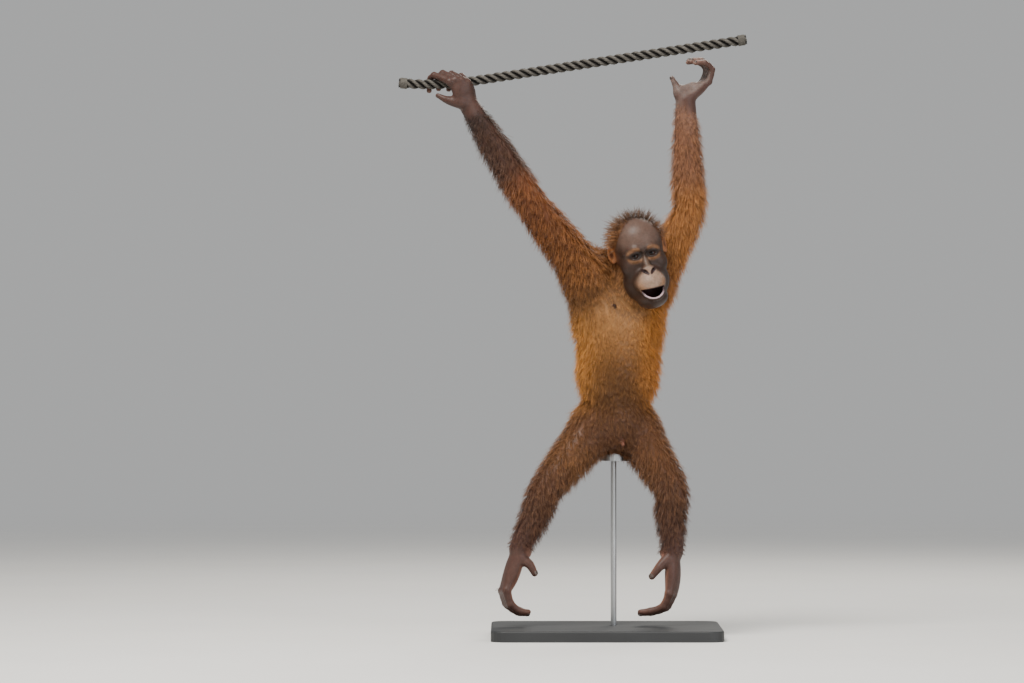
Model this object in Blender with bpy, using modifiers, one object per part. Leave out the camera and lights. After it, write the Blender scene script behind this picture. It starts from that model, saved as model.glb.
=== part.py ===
"""A young orangutan that stands on bent legs and holds a stretched rope overhead, life-size, on a display stand.

The flesh is modelled whole: named forms (eggs and limbs) are joined, remeshed into one closed skin and
drawn onto the smooth blend of those forms. The coat is one smooth form out to its depth, and thin cuts
part the skin into the nodes that a person would name. X runs to the animal's left as it is seen from the
front, Y runs away from the viewer and Z runs up. The origin is the middle of the stand's underside.
"""

import math

import bmesh
import bpy
import numpy as np
from mathutils import Matrix, Vector

MM = 0.001
GAP = 0.3 * MM

# Skin resolution, and how many triangles each region of it keeps
VOXEL = 2.6 * MM
UP = np.array([0.0, 0.0, 1.0])


def at(x, y, z):
    """A point given in millimetres, in metres."""
    return np.array([x, y, z], float) * MM


def unit(vector):
    vector = np.asarray(vector, float)
    return vector / np.linalg.norm(vector)


def turned(pitch=0.0, roll=0.0, yaw=0.0):
    """The turn matrix of a pitch about X, then a roll about Y, then a yaw about Z, in degrees."""
    turn = Matrix.Rotation(math.radians(yaw), 3, "Z")
    turn = turn @ Matrix.Rotation(math.radians(roll), 3, "Y")
    return np.array(turn @ Matrix.Rotation(math.radians(pitch), 3, "X"))


# The pose: joint centres in millimetres
SHOULDER_R = at(-40, -34, 728)
ELBOW_R = at(-152, -108, 868)
WRIST_R = at(-275, -92, 1062)
SHOULDER_L = at(94, 60, 702)
ELBOW_L = at(167, 30, 853)
WRIST_L = at(158, -22, 1075)
HIP_R = at(-24, 2, 418)
KNEE_R = at(-120, -52, 300)
ANKLE_R = at(-173, -22, 178)
HIP_L = at(62, 24, 414)
KNEE_L = at(130, -30, 296)
ANKLE_L = at(134, -2, 172)
TRUNK_TURN = turned(yaw=27.0)
HEAD_CENTRE = at(65, -54, 765)
HEAD_TURN = turned(pitch=3, roll=-13, yaw=8)


class Egg:
    """An ellipsoid with a centre, three half-sizes and a turn."""

    def __init__(self, centre, radii, turn=None):
        self.centre = np.asarray(centre, float)
        self.radii = np.asarray(radii, float)
        self.turn = np.eye(3) if turn is None else turn
        self.bound = self.radii.max()

    def distance(self, points):
        local = (points - self.centre) @ self.turn
        near = np.linalg.norm(local / self.radii, axis=1)
        slope = np.linalg.norm(local / self.radii**2, axis=1)
        scale = np.where(slope > 1e-3, near / np.maximum(slope, 1e-9), self.radii.min())
        return scale * (near - 1.0)

    def add_to(self, bm):
        place = Matrix.Translation(Vector(self.centre)) @ Matrix(self.turn).to_4x4()
        place = place @ Matrix.Diagonal((*self.radii, 1.0))
        bmesh.ops.create_icosphere(bm, subdivisions=3, radius=1.0, matrix=place)


def rounded(points, radii, parts):
    """Points and radii of a smooth run through the given ones."""
    rows = np.column_stack([np.asarray(points, float), np.asarray(radii, float)])
    ends = np.vstack([2 * rows[0] - rows[1], rows, 2 * rows[-1] - rows[-2]])
    run = [rows[0]]
    for k in range(1, len(ends) - 2):
        before, start, end, after = ends[k - 1 : k + 3]
        for part in range(1, parts + 1):
            t = part / parts
            bend = (end - before) * t + (2 * before - 5 * start + 4 * end - after) * t * t
            run.append(start + 0.5 * (bend + (3 * start - before - 3 * end + after) * t**3))
    run = np.array(run)
    return run[:, :3], run[:, 3]


class Limb:
    """A smooth run of flesh through several points, with a radius at each."""

    def __init__(self, points, radii, parts=1):
        self.points, self.radii = rounded(points, np.array(radii, float) * MM, parts)
        self.centre = (self.points.min(axis=0) + self.points.max(axis=0)) / 2
        self.bound = (np.linalg.norm(self.points - self.centre, axis=1) + self.radii).max()

    def spans(self):
        return zip(self.points, self.points[1:], self.radii, self.radii[1:])

    def distance(self, points):
        best = np.full(len(points), 1.0)
        for start, end, first, last in self.spans():
            along = end - start
            share = np.clip((points - start) @ along / (along @ along), 0.0, 1.0)
            radius = first + (last - first) * share
            apart = np.linalg.norm(points - start - share[:, None] * along, axis=1) - radius
            best = np.minimum(best, apart)
        return best

    def add_to(self, bm):
        for start, end, first, last in self.spans():
            hull = bmesh.new()
            for point, radius in ((start, first), (end, last)):
                place = Matrix.Translation(Vector(point))
                bmesh.ops.create_icosphere(hull, subdivisions=2, radius=radius, matrix=place)
            made = bmesh.ops.convex_hull(hull, input=list(hull.verts), use_existing_faces=False)
            kept = set(made["geom"])
            inside = [vert for vert in hull.verts if vert not in kept]
            bmesh.ops.delete(hull, geom=inside, context="VERTS")
            inner = [face for face in hull.faces if face not in kept]
            bmesh.ops.delete(hull, geom=inner, context="FACES")
            shape = bpy.data.meshes.new("hull")
            hull.to_mesh(shape)
            hull.free()
            bm.from_mesh(shape)
            bpy.data.meshes.remove(shape)


class Bowl(Egg):
    """The part of an egg below a level of its own frame."""

    def __init__(self, centre, radii, turn, level):
        super().__init__(centre, radii, turn)
        self.level = level

    def distance(self, points):
        height = ((points - self.centre) @ self.turn)[:, 2] - self.level
        return np.maximum(super().distance(points), height)

    def add_to(self, bm):
        bowl = bmesh.new()
        super().add_to(bowl)
        centre = self.centre + self.turn[:, 2] * self.level
        geometry = bowl.verts[:] + bowl.edges[:] + bowl.faces[:]
        bmesh.ops.bisect_plane(
            bowl, geom=geometry, plane_co=Vector(centre), plane_no=Vector(self.turn[:, 2]), clear_outer=True
        )
        bmesh.ops.holes_fill(bowl, edges=[edge for edge in bowl.edges if edge.is_boundary], sides=0)
        shape = bpy.data.meshes.new("bowl")
        bowl.to_mesh(shape)
        bowl.free()
        bm.from_mesh(shape)
        bpy.data.meshes.remove(shape)


def blend(first, second, reach):
    """The smaller of two distances, rounded where they are within reach of each other."""
    share = np.clip(0.5 + 0.5 * (second - first) / reach, 0.0, 1.0)
    return second + (first - second) * share - reach * share * (1.0 - share)


CULL = 32 * MM
CELL = 40 * MM


def form_distance(form, points):
    """The form's distance, worked out in full only where the form is near."""
    rough = np.linalg.norm(points - form.centre, axis=1) - form.bound
    near = rough < CULL
    if near.any():
        rough[near] = form.distance(points[near])
    return rough


class Body:
    """Flesh as steps in order: forms that are added and forms that are hollowed out."""

    def __init__(self, depth_of=None):
        self.steps = []
        self.near = {}
        self.depth_of = depth_of

    def add(self, form, reach):
        self.steps.append((form, reach * MM, True))
        return form

    def hollow(self, form, reach):
        self.steps.append((form, reach * MM, False))
        return form

    def steps_near(self, cell):
        """The steps that matter inside one cell of space."""
        if cell not in self.near:
            middle = (np.array(cell) + 0.5) * CELL
            limit = CELL * 0.87 + CULL
            self.near[cell] = [
                step for step in self.steps if np.linalg.norm(step[0].centre - middle) - step[0].bound < limit
            ]
        return self.near[cell]

    def distance(self, points):
        total = np.full(len(points), 1.0)
        cells = np.floor(points / CELL).astype(int)
        keys = (cells[:, 0] * 1000 + cells[:, 1]) * 1000 + cells[:, 2]
        order = np.argsort(keys, kind="stable")
        edges = np.flatnonzero(np.diff(keys[order])) + 1
        for group in np.split(order, edges):
            spot = points[group]
            value = np.full(len(group), 1.0)
            for form, reach, added in self.steps_near(tuple(cells[group[0]])):
                apart = form_distance(form, spot)
                if added:
                    value = blend(value, apart, reach)
                else:
                    value = -blend(-value, apart, reach)
            total[group] = value
        if self.depth_of is not None:
            total -= self.depth_of(points)
        return total

    def settle(self, points, rounds=3, step=0.4 * MM):
        """Draws points onto the surface, and gives the way out there as well."""
        probes = np.array([[1, -1, -1], [-1, -1, 1], [-1, 1, -1], [1, 1, 1]], float)
        out = None
        for _ in range(rounds):
            values = [self.distance(points + probe * step) for probe in probes]
            out = sum(v[:, None] * probe for v, probe in zip(values, probes))
            out /= 4.0 * step
            size = np.maximum(np.linalg.norm(out, axis=1), 0.2)
            move = np.clip(sum(values) / 4.0 / size, -3 * MM, 3 * MM)
            points = points - out / size[:, None] * move[:, None]
            out = out / np.maximum(np.linalg.norm(out, axis=1), 1e-9)[:, None]
        return points, out


def mirrored(side, x, y, z):
    """A place in the head's own frame, given for the animal's left and mirrored for its right."""
    return HEAD_CENTRE + HEAD_TURN @ at(side * x, y, z)


def chain(body, points, radii, reach, parts=3):
    """A bent, smooth run of flesh through several points."""
    body.add(Limb(points, radii, parts), reach)


def head_egg(x, y, z, radii, tilt=None):
    turn = HEAD_TURN if tilt is None else HEAD_TURN @ tilt
    return Egg(mirrored(1, x, y, z), np.array(radii) * MM, turn)


# The head, in its own frame: level zero is the eyes' own level, and the front is at minus Y
EYE_PLACE = (17.5, -42.5, 0.0)
EYE_RADIUS = 11.0
MOUTH_HALF_WIDTH = 23.5
MOUTH_TOP = -66.0
MOUTH_BOTTOM = -87.0
EAR_PLACE = (54.0, 8.0, 10.0)
EAR_TURN = 28.0
NECK_MIDDLE = (0.0, -10.0, -6.0)
NECK_WAY = (0.0, 0.9, -0.45)
NECK_RADIUS = 98.0
NECK_SPREAD = 99.0


def add_skull(body):
    body.add(head_egg(0, 10, 15, (51, 62, 58)), 8)
    body.add(head_egg(0, -16, 30, (42, 39, 40)), 14)
    body.add(head_egg(0, -22, -8, (42, 33, 30)), 12)
    body.add(head_egg(0, -14, -54, (46, 43, 44)), 16)
    for side in (-1, 1):
        brow = [mirrored(side, x, y, z) for x, y, z in ((4, -53, 10), (18, -53, 14), (34, -39, 9))]
        chain(body, brow, (4.5, 5.5, 4.5), 11)
        body.add(Egg(mirrored(side, 31, -33, -21), np.array((15, 16, 17)) * MM, HEAD_TURN), 12)


def add_muzzle(body):
    body.add(head_egg(0, -50, -53, (30, 33, 27)), 12)
    body.add(head_egg(0, -62, -57, (29, 24, 17)), 8)
    body.add(head_egg(0, -42, -86, (31, 30, 23)), 10)
    body.add(head_egg(0, -58, -87, (27, 24, 17)), 8)
    bridge = [mirrored(1, 0, y, z) for y, z in ((-51, 6), (-56, -12), (-65, -27))]
    chain(body, bridge, (4.5, 5.0, 7.5), 9)
    for side in (-1, 1):
        body.add(Egg(mirrored(side, 8, -67, -30), np.array((8.5, 6.5, 7)) * MM, HEAD_TURN), 6)


def add_mouth(body):
    """The open mouth: a half-moon hollow under the upper lip, with a thin lower lip round it."""
    middle = mirrored(1, 0, -78, MOUTH_TOP)
    radii = np.array((MOUTH_HALF_WIDTH, 27, MOUTH_TOP - MOUTH_BOTTOM)) * MM
    body.hollow(Bowl(middle, radii, HEAD_TURN, 0.0), 2)
    lower = []
    for step in range(9):
        across = step / 4.0 - 1.0
        drop = (1.0 - across * across) ** 0.62
        lower.append(mirrored(1, 24 * across, -64 - 19 * drop, MOUTH_TOP - 1 - 21.5 * drop))
    chain(body, lower, (2.0, 2.8, 3.2, 3.4, 3.5, 3.4, 3.2, 2.8, 2.0), 3.5, 1)
    upper = [mirrored(1, 22.5 * t, -67 - 17 * (1 - t * t), MOUTH_TOP + 3.2) for t in (-1, -0.5, 0, 0.5, 1)]
    chain(body, upper, (2.6, 3.6, 4.0, 3.6, 2.6), 4)


def add_nostrils(body):
    """Two slits that meet below like the strokes of a V, each with a short way in."""
    for side in (-1, 1):
        slit = [mirrored(side, x, y, z) for x, y, z in ((12, -70.5, -26), (8.5, -74, -30), (3.6, -77.5, -36))]
        body.hollow(Limb(slit, (2.0, 2.5, 1.8)), 1.5)
        body.hollow(Limb([slit[1], mirrored(side, 6.5, -66, -34)], (2.6, 2.2)), 1.5)


def add_eyes(body):
    """Deep sockets, the lids as a thick shell round each eye, a fold above and a pouch below."""
    ex, ey, ez = EYE_PLACE
    for side in (-1, 1):
        socket = Egg(mirrored(side, ex + 1, ey - 15, ez), np.array((16, 10, 11)) * MM, HEAD_TURN)
        body.hollow(socket, 7)
        body.add(Egg(mirrored(side, ex, ey, ez), np.full(3, EYE_RADIUS + 2.4) * MM), 4)
        for lift, sag, thick in ((8.2, 3.4, 2.6), (-8.4, -3.2, 2.4)):
            fold = []
            for turn in (-1.0, -0.5, 0.0, 0.5, 1.0):
                fold.append(mirrored(side, ex + 12 * turn, ey - 10 + 5 * turn * turn, ez + lift - sag * turn**2))
            chain(body, fold, (1.6, thick, thick, thick, 1.6), 4, 2)
        opening = Egg(mirrored(side, ex, ey - 18, ez), np.array((11.6, 11.5, 5.2)) * MM, HEAD_TURN)
        body.hollow(opening, 1.2)


def add_ears(body):
    """Small round ears, each a shell with a cup in its outer face and a lobe below."""
    for side in (-1, 1):
        turn = HEAD_TURN @ turned(yaw=-side * EAR_TURN)
        x, y, z = EAR_PLACE
        body.add(Egg(mirrored(side, x, y, z), np.array((5.0, 11.5, 16.0)) * MM, turn), 3)
        body.add(Egg(mirrored(side, x - 1, y - 3, z - 13), np.array((4.0, 5.5, 6.0)) * MM, turn), 3)
        cup = Egg(mirrored(side, x + 5.2, y - 1.5, z + 1.5), np.array((5.0, 7.6, 11.5)) * MM, turn)
        body.hollow(cup, 1.5)
        canal = [mirrored(side, x + 2, y - 5, z - 2), mirrored(side, x - 4, y - 7, z - 2)]
        body.hollow(Limb(canal, (2.6, 2.2)), 1.5)


def trunk_egg(x, y, z, radii):
    """An egg of the trunk: a world place, and half-sizes across, front to back and up."""
    return Egg(at(x, y, z), np.array(radii) * MM, TRUNK_TURN)


def trunk_place(base, across, depth, up=0.0):
    """A place given from a point of the trunk, across and deep in the trunk's own frame."""
    return at(*base) + TRUNK_TURN @ at(across, depth, up)


def add_trunk(body):
    body.add(trunk_egg(27, 2, 628, (92, 63, 98)), 10)
    body.add(trunk_egg(24, 0, 530, (83, 61, 86)), 30)
    body.add(trunk_egg(17, 6, 438, (70, 55, 54)), 24)
    body.add(trunk_egg(28, 14, 690, (66, 46, 46)), 24)
    chain(body, [at(22, 8, 694), at(42, -10, 730), at(56, -22, 752)], (46, 41, 40), 20)
    nape = [at(-40, -22, 738), at(0, 24, 738), at(50, 44, 714)]
    chain(body, nape, (35, 31, 27), 12)
    for side, hip in ((-1, HIP_R), (1, HIP_L)):
        seat = trunk_place((15, 6, 408), side * 30, 30)
        body.add(Egg(seat, np.array((36, 34, 38)) * MM, TRUNK_TURN), 18)
        body.add(Limb([at(15, 4, 424), hip], (42, 42)), 18)
        teat = trunk_place((28, 2, 662), side * 42, -53)
        body.add(Limb([teat, teat + TRUNK_TURN @ at(0, -4.5, 0)], (3.0, 2.4)), 3)
    body.add(Limb([at(30, -32, 392), at(33, -38, 386)], (5, 4)), 5)


def add_arm(body, shoulder, elbow, wrist, side):
    """Shoulder, upper arm and forearm, with the muscle that swells below the elbow."""
    body.add(Limb([trunk_place((26, 0, 690), side * 44, 6), shoulder], (38, 37)), 20)
    upper = shoulder + (elbow - shoulder) * 0.35
    body.add(Limb([trunk_place((26, 4, 636), side * 62, 8), upper], (26, 26)), 24)
    middle = shoulder + (elbow - shoulder) * 0.55
    belly = elbow + (wrist - elbow) * 0.25
    waist = elbow + (wrist - elbow) * 0.65
    path = [shoulder, middle, elbow, belly, waist, wrist]
    chain(body, path, (38, 33, 27.5, 29, 24, 19.5), 12, 4)


def add_leg(body, hip, knee, ankle):
    """Thigh, knee and shin, with a slight calf."""
    middle = hip + (knee - hip) * 0.5
    behind = unit(np.cross(np.cross(ankle - hip, knee - hip), ankle - knee))
    calf = knee + (ankle - knee) * 0.38 - behind * 4 * MM
    chain(body, [hip, middle, knee, calf, ankle], (44, 37.5, 29, 28, 20.5), 16, 4)


class Grip:
    """A hand or foot: its own frame, its four long digits as joints, and its thumb or great toe."""

    def __init__(self, root, forward, palm, right, span, half_width, deep, radii, digits, thumb, thumb_radii):
        self.root, self.span, self.half_width, self.deep = root, span, half_width, deep
        self.forward = unit(forward)
        self.palm = unit(palm - self.forward * np.dot(palm, self.forward))
        self.side = np.cross(self.forward, self.palm) * (1 if right else -1)
        self.radii, self.digits = radii, digits
        self.thumb, self.thumb_radii = thumb, thumb_radii

    def place(self, forward, palm, side):
        """A place in the hand's own frame, in millimetres."""
        return self.root + (self.forward * forward + self.palm * palm + self.side * side) * MM


def add_grip(body, grip):
    """The palm or sole, its four long digits with their knuckles, and the thumb or great toe."""
    turn = np.column_stack([grip.side, grip.palm, grip.forward])
    radii = np.array((grip.half_width, grip.deep, grip.span * 0.62)) * MM
    body.add(Egg(grip.place(grip.span * 0.5, 0, 0), radii, turn), 8)
    for number, digit in enumerate(grip.digits):
        scale = 1.0 if number < 3 else 0.9
        r0, r1, r2, r3 = (r * scale for r in grip.radii)
        root = grip.root * 0.75 + digit[0] * 0.25
        body.add(Limb([root, digit[0]], (9.5, r0)), 7)
        body.add(Limb(digit, (r0, r1, r2, r3), 2), 2.5)
        for joint, radius in ((digit[0], r0 * 1.05), (digit[1], r1 * 1.1), (digit[2], r2 * 1.08)):
            body.add(Egg(joint, np.full(3, radius * MM)), 2)
    body.add(Limb(grip.thumb, grip.thumb_radii, 2), 6)


def right_fingers():
    """Index to little finger: over the rope, slanting along it, and down behind it."""
    fingers = []
    for number, slant in enumerate((31, 26, 20, 13)):
        knuckle = at(-311 + 11.8 * number, -115 + 2.6 * number, (1104, 1108, 1107, 1103)[number])
        middle = knuckle + at(-slant, 24, 14)
        last = middle + at(-0.35 * slant, 17, -13)
        fingers.append([knuckle, middle, last, last + at(1, -3, -17)])
    return fingers


def left_fingers():
    """Index to little finger, stacked away from the viewer in a slack hook."""
    fingers = []
    for number, scale in enumerate((0.95, 1.0, 0.97, 0.86)):
        across = 1.5 - number
        knuckle = at(199.5 - 3.5 * across, 6 + 12.5 * across, 1110)
        middle = knuckle + scale * at(8, -4, 28)
        last = middle + scale * at(-19, -15, 15)
        fingers.append([knuckle, middle, last, last + scale * at(-21, -13, -2)])
    return fingers


def toes(side, joint, steps, spread):
    """Second to little toe: the second is the nearest to the viewer."""
    digits = []
    for number, scale in enumerate((0.95, 1.0, 0.97, 0.86)):
        across = 1.5 - number
        points = [joint + spread * across]
        for step in steps:
            points.append(points[-1] + scale * at(side * step[0], step[1], step[2]))
        digits.append(points)
    return digits


HAND_R = Grip(
    WRIST_R, at(-17, -22, 46), at(-45, 88, -5), True, 46, 25, 13.5, (7.4, 6.5, 5.9, 4.8),
    right_fingers(), [at(-288, -106, 1062), at(-306, -106, 1066), at(-320, -102, 1070), at(-335, -98, 1078)],
    (12, 10, 7, 4.4),
)
HAND_L = Grip(
    WRIST_L, at(40, 26, 34), at(-70, -30, 62), False, 52, 23, 13, (7.4, 6.4, 5.8, 4.8),
    left_fingers(), [at(149, -24, 1087), at(141, -26, 1098), at(131, -25, 1117)],
    (11, 8, 4.4),
)
FOOT_R = Grip(
    ANKLE_R, at(-26, -2, -84), at(90, 35, 0), True, 84, 23, 15.5, (8.8, 7.8, 7.0, 5.6),
    toes(1, at(-203, -24, 94), ((8, 3, -29), (21, 6, -15), (16, 4, -2)), at(3, -11, 1)),
    [at(-170, -30, 158), at(-153, -36, 147), at(-143, -36, 129)], (12, 9, 6.5),
)
FOOT_L = Grip(
    ANKLE_L, at(0, -2, -84), at(-93, 30, 0), False, 84, 23, 15, (8.8, 7.8, 7.0, 5.6),
    toes(-1, at(130, -4, 86), ((12, 3, -27), (27, 6, -10), (21, 4, -2)), at(-3, -11, 1)),
    [at(122, -14, 156), at(106, -22, 141), at(91, -24, 122)], (12, 9, 6.5),
)
GRIPS = {"hand_R": HAND_R, "hand_L": HAND_L, "foot_R": FOOT_R, "foot_L": FOOT_L}


def make_body(depth_of=None):
    body = Body(depth_of)
    add_trunk(body)
    add_arm(body, SHOULDER_R, ELBOW_R, WRIST_R, -1)
    add_arm(body, SHOULDER_L, ELBOW_L, WRIST_L, 1)
    add_leg(body, HIP_R, KNEE_R, ANKLE_R)
    add_leg(body, HIP_L, KNEE_L, ANKLE_L)
    for grip in GRIPS.values():
        add_grip(body, grip)
    for foot in (FOOT_R, FOOT_L):
        body.add(Limb([foot.place(2, 2, 0), foot.place(4, 14, 0)], (17, 13)), 8)
    body.add(Limb([at(147, -24, 1087), at(173, -12, 1097)], (13, 12)), 8)
    add_skull(body)
    add_muzzle(body)
    add_mouth(body)
    add_nostrils(body)
    add_eyes(body)
    add_ears(body)
    return body


def mesh_object(name, bm):
    mesh = bpy.data.meshes.new(name)
    bm.to_mesh(mesh)
    bm.free()
    obj = bpy.data.objects.new(name, mesh)
    bpy.context.scene.collection.objects.link(obj)
    return obj


def evaluated(obj):
    """Replaces an object's mesh by the one that its modifiers make."""
    graph = bpy.context.evaluated_depsgraph_get()
    mesh = bpy.data.meshes.new_from_object(obj.evaluated_get(graph))
    obj.modifiers.clear()
    obj.data = mesh
    return obj


def points_of(mesh):
    flat = np.empty(len(mesh.vertices) * 3)
    mesh.vertices.foreach_get("co", flat)
    return flat.reshape(-1, 3)


def remeshed(obj, voxel):
    remesh = obj.modifiers.new("Remesh", "REMESH")
    remesh.mode, remesh.voxel_size = "VOXEL", voxel
    return evaluated(obj)


def cut(obj, cutter, solver="MANIFOLD", operation="DIFFERENCE"):
    """A Boolean with one object or with a collection of them."""
    boolean = obj.modifiers.new("Boolean", "BOOLEAN")
    boolean.operation, boolean.solver = operation, solver
    if isinstance(cutter, bpy.types.Collection):
        boolean.operand_type = "COLLECTION"
        boolean.collection = cutter
    else:
        boolean.object = cutter
    return evaluated(obj)


def skin_of(body, name, voxel):
    """One closed skin: the forms' own meshes remeshed as one, then drawn onto their smooth blend."""
    full, holes = bmesh.new(), bmesh.new()
    for form, _, added in body.steps:
        if added:
            form.add_to(full)
        elif isinstance(form, Bowl):
            form.add_to(holes)
    skin, mouth = mesh_object(name, full), mesh_object(name + "_mouth", holes)
    remeshed(skin, voxel)
    cut(skin, mouth)
    bpy.data.objects.remove(mouth)
    points, _ = body.settle(points_of(skin.data))
    skin.data.vertices.foreach_set("co", points.ravel())
    remeshed(skin, voxel)
    points, _ = body.settle(points_of(skin.data))
    skin.data.vertices.foreach_set("co", points.ravel())
    skin.data.update()
    return skin


def head_local(points):
    return (points - HEAD_CENTRE) @ HEAD_TURN


def smooth(value, low, high):
    share = np.clip((value - low) / (high - low), 0.0, 1.0)
    return share * share * (3.0 - 2.0 * share)


def hairiness(points):
    """How much of the coat's full depth stands at each point: none on the face, hands and feet."""
    share = np.ones(len(points))
    for name, grip in GRIPS.items():
        middle = grip.place(grip.span * 0.55, 0, 0)
        apart = np.linalg.norm(points - middle, axis=1)
        share *= smooth(apart, 58 * MM, 100 * MM)
    local = head_local(points)
    near = 1.0 - smooth(np.linalg.norm(local, axis=1), 108 * MM, 128 * MM)
    edge = 14 * MM + 0.35 * np.maximum(local[:, 2], 0.0) - 0.25 * np.minimum(local[:, 2], 0.0)
    bare = 1.0 - smooth(local[:, 1], edge, edge + 18 * MM)
    share *= 1.0 - near * bare
    front = (points - at(24, 0, 600)) @ TRUNK_TURN
    chest = smooth(-front[:, 1], 20 * MM, 48 * MM) * (1.0 - smooth(np.abs(front[:, 0]), 40 * MM, 80 * MM))
    chest *= smooth(points[:, 2], 0.40, 0.46) * (1.0 - smooth(points[:, 2], 0.72, 0.76))
    return share * (1.0 - 0.65 * chest)


def thinned(skin, regions, rest):
    """Fewer triangles: each region, a ball, keeps its own number and the rest of the skin its own."""
    points = points_of(skin.data)
    free = np.ones(len(points), bool)
    masks = []
    for centre, radius, target in regions:
        inside = (np.linalg.norm(points - centre, axis=1) < radius) & free
        free &= ~inside
        masks.append((inside, target))
    masks.append((free, rest))
    for number, (inside, target) in enumerate(masks):
        group = skin.vertex_groups.new(name="region%d" % number)
        group.add(np.flatnonzero(inside).tolist(), 1.0, "REPLACE")
    mesh = skin.data
    bm = bmesh.new()
    bm.from_mesh(mesh)
    bmesh.ops.triangulate(bm, faces=bm.faces)
    bm.to_mesh(mesh)
    bm.free()
    for number, (_, target) in enumerate(masks):
        index = skin.vertex_groups["region%d" % number].index
        member = [any(g.group == index and g.weight > 0.5 for g in v.groups) for v in skin.data.vertices]
        own = sum(1 for face in skin.data.polygons if all(member[v] for v in face.vertices))
        whole = len(skin.data.polygons)
        decimate = skin.modifiers.new("Decimate", "DECIMATE")
        decimate.vertex_group = "region%d" % number
        decimate.ratio = (whole - own + min(own, target)) / whole
        graph = bpy.context.evaluated_depsgraph_get()
        new = bpy.data.meshes.new_from_object(
            skin.evaluated_get(graph), preserve_all_data_layers=True, depsgraph=graph
        )
        skin.modifiers.clear()
        skin.data = new
    skin.vertex_groups.clear()
    return skin


def disc(collection, centre, normal, radius):
    """A thin cutter across the flesh."""
    bm = bmesh.new()
    turn = Vector(normal).to_track_quat("Z", "Y").to_matrix().to_4x4()
    bmesh.ops.create_cone(
        bm, cap_ends=True, segments=24, radius1=radius, radius2=radius, depth=GAP,
        matrix=Matrix.Translation(Vector(centre)) @ turn,
    )
    return linked(mesh_object("cut", bm), collection)


def dome(collection, centre, axis, radius, spread):
    """A thin, bowl-shaped cutter around a centre, open on the side away from its axis."""
    bm = bmesh.new()
    turn = Vector(axis).to_track_quat("Z", "Y").to_matrix().to_4x4()
    bmesh.ops.create_uvsphere(bm, u_segments=32, v_segments=32, radius=radius)
    rim = radius * math.cos(math.radians(spread)) - 1e-6
    bmesh.ops.delete(bm, geom=[v for v in bm.verts if v.co.z < rim], context="VERTS")
    bmesh.ops.transform(bm, matrix=Matrix.Translation(Vector(centre)) @ turn, verts=bm.verts)
    bowl = mesh_object("cut", bm)
    wall = bowl.modifiers.new("wall", "SOLIDIFY")
    wall.thickness = GAP
    wall.offset = 0.0
    return linked(evaluated(bowl), collection)


def linked(obj, collection):
    for old in list(obj.users_collection):
        old.objects.unlink(obj)
    collection.objects.link(obj)
    return obj


def joint_cuts():
    """Where the flesh is parted: a place, a direction across the cut and a radius in millimetres."""
    arm_r, arm_l = unit(ELBOW_R - SHOULDER_R), unit(ELBOW_L - SHOULDER_L)
    leg_r, leg_l = unit(KNEE_R - HIP_R), unit(KNEE_L - HIP_L)
    cuts = [
        (at(22, 0, 468), UP, 112),
        (SHOULDER_R + arm_r * 26 * MM, arm_r, 62),
        (SHOULDER_L + arm_l * 46 * MM, arm_l, 66),
        (ELBOW_R, unit(WRIST_R - SHOULDER_R), 48),
        (ELBOW_L, unit(WRIST_L - SHOULDER_L), 48),
        (WRIST_R - unit(WRIST_R - ELBOW_R) * 10 * MM, unit(WRIST_R - ELBOW_R), 32),
        (WRIST_L - unit(WRIST_L - ELBOW_L) * 8 * MM, unit(WRIST_L - ELBOW_L), 32),
        (HIP_R + leg_r * 34 * MM, leg_r, 66),
        (HIP_L + leg_l * 41 * MM, leg_l, 66),
        (KNEE_R, unit(ANKLE_R - HIP_R), 48),
        (KNEE_L, unit(ANKLE_L - HIP_L), 48),
        (ANKLE_R - unit(ANKLE_R - KNEE_R) * 2 * MM, unit(ANKLE_R - KNEE_R), 34),
        (ANKLE_L - unit(ANKLE_L - KNEE_L) * 2 * MM, unit(ANKLE_L - KNEE_L), 34),
    ]
    for grip in GRIPS.values():
        way = unit(sum(unit(digit[1] - digit[0]) for digit in grip.digits))
        middle = sum(digit[0] + digit[1] for digit in grip.digits) / 8
        cuts.append((middle, way, 34))
        way = unit(grip.thumb[-1] - grip.thumb[-2])
        middle = grip.thumb[-2] * 0.7 + grip.thumb[-1] * 0.3
        cuts.append((middle, way, grip.thumb_radii[-2] * 1.7))
    for side in (-1, 1):
        x, y, z = EAR_PLACE
        cuts.append((mirrored(side, x - 0.5, y + 1, z), HEAD_TURN @ unit((side, 0.12, 0)), 22))
    return cuts


def pieces_of(obj):
    """Splits an object into its loose closed pieces."""
    bpy.ops.object.select_all(action="DESELECT")
    obj.select_set(True)
    bpy.context.view_layer.objects.active = obj
    bpy.ops.object.mode_set(mode="EDIT")
    bpy.ops.mesh.select_all(action="SELECT")
    bpy.ops.mesh.separate(type="LOOSE")
    bpy.ops.object.mode_set(mode="OBJECT")
    return list(bpy.context.selected_objects)


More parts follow.
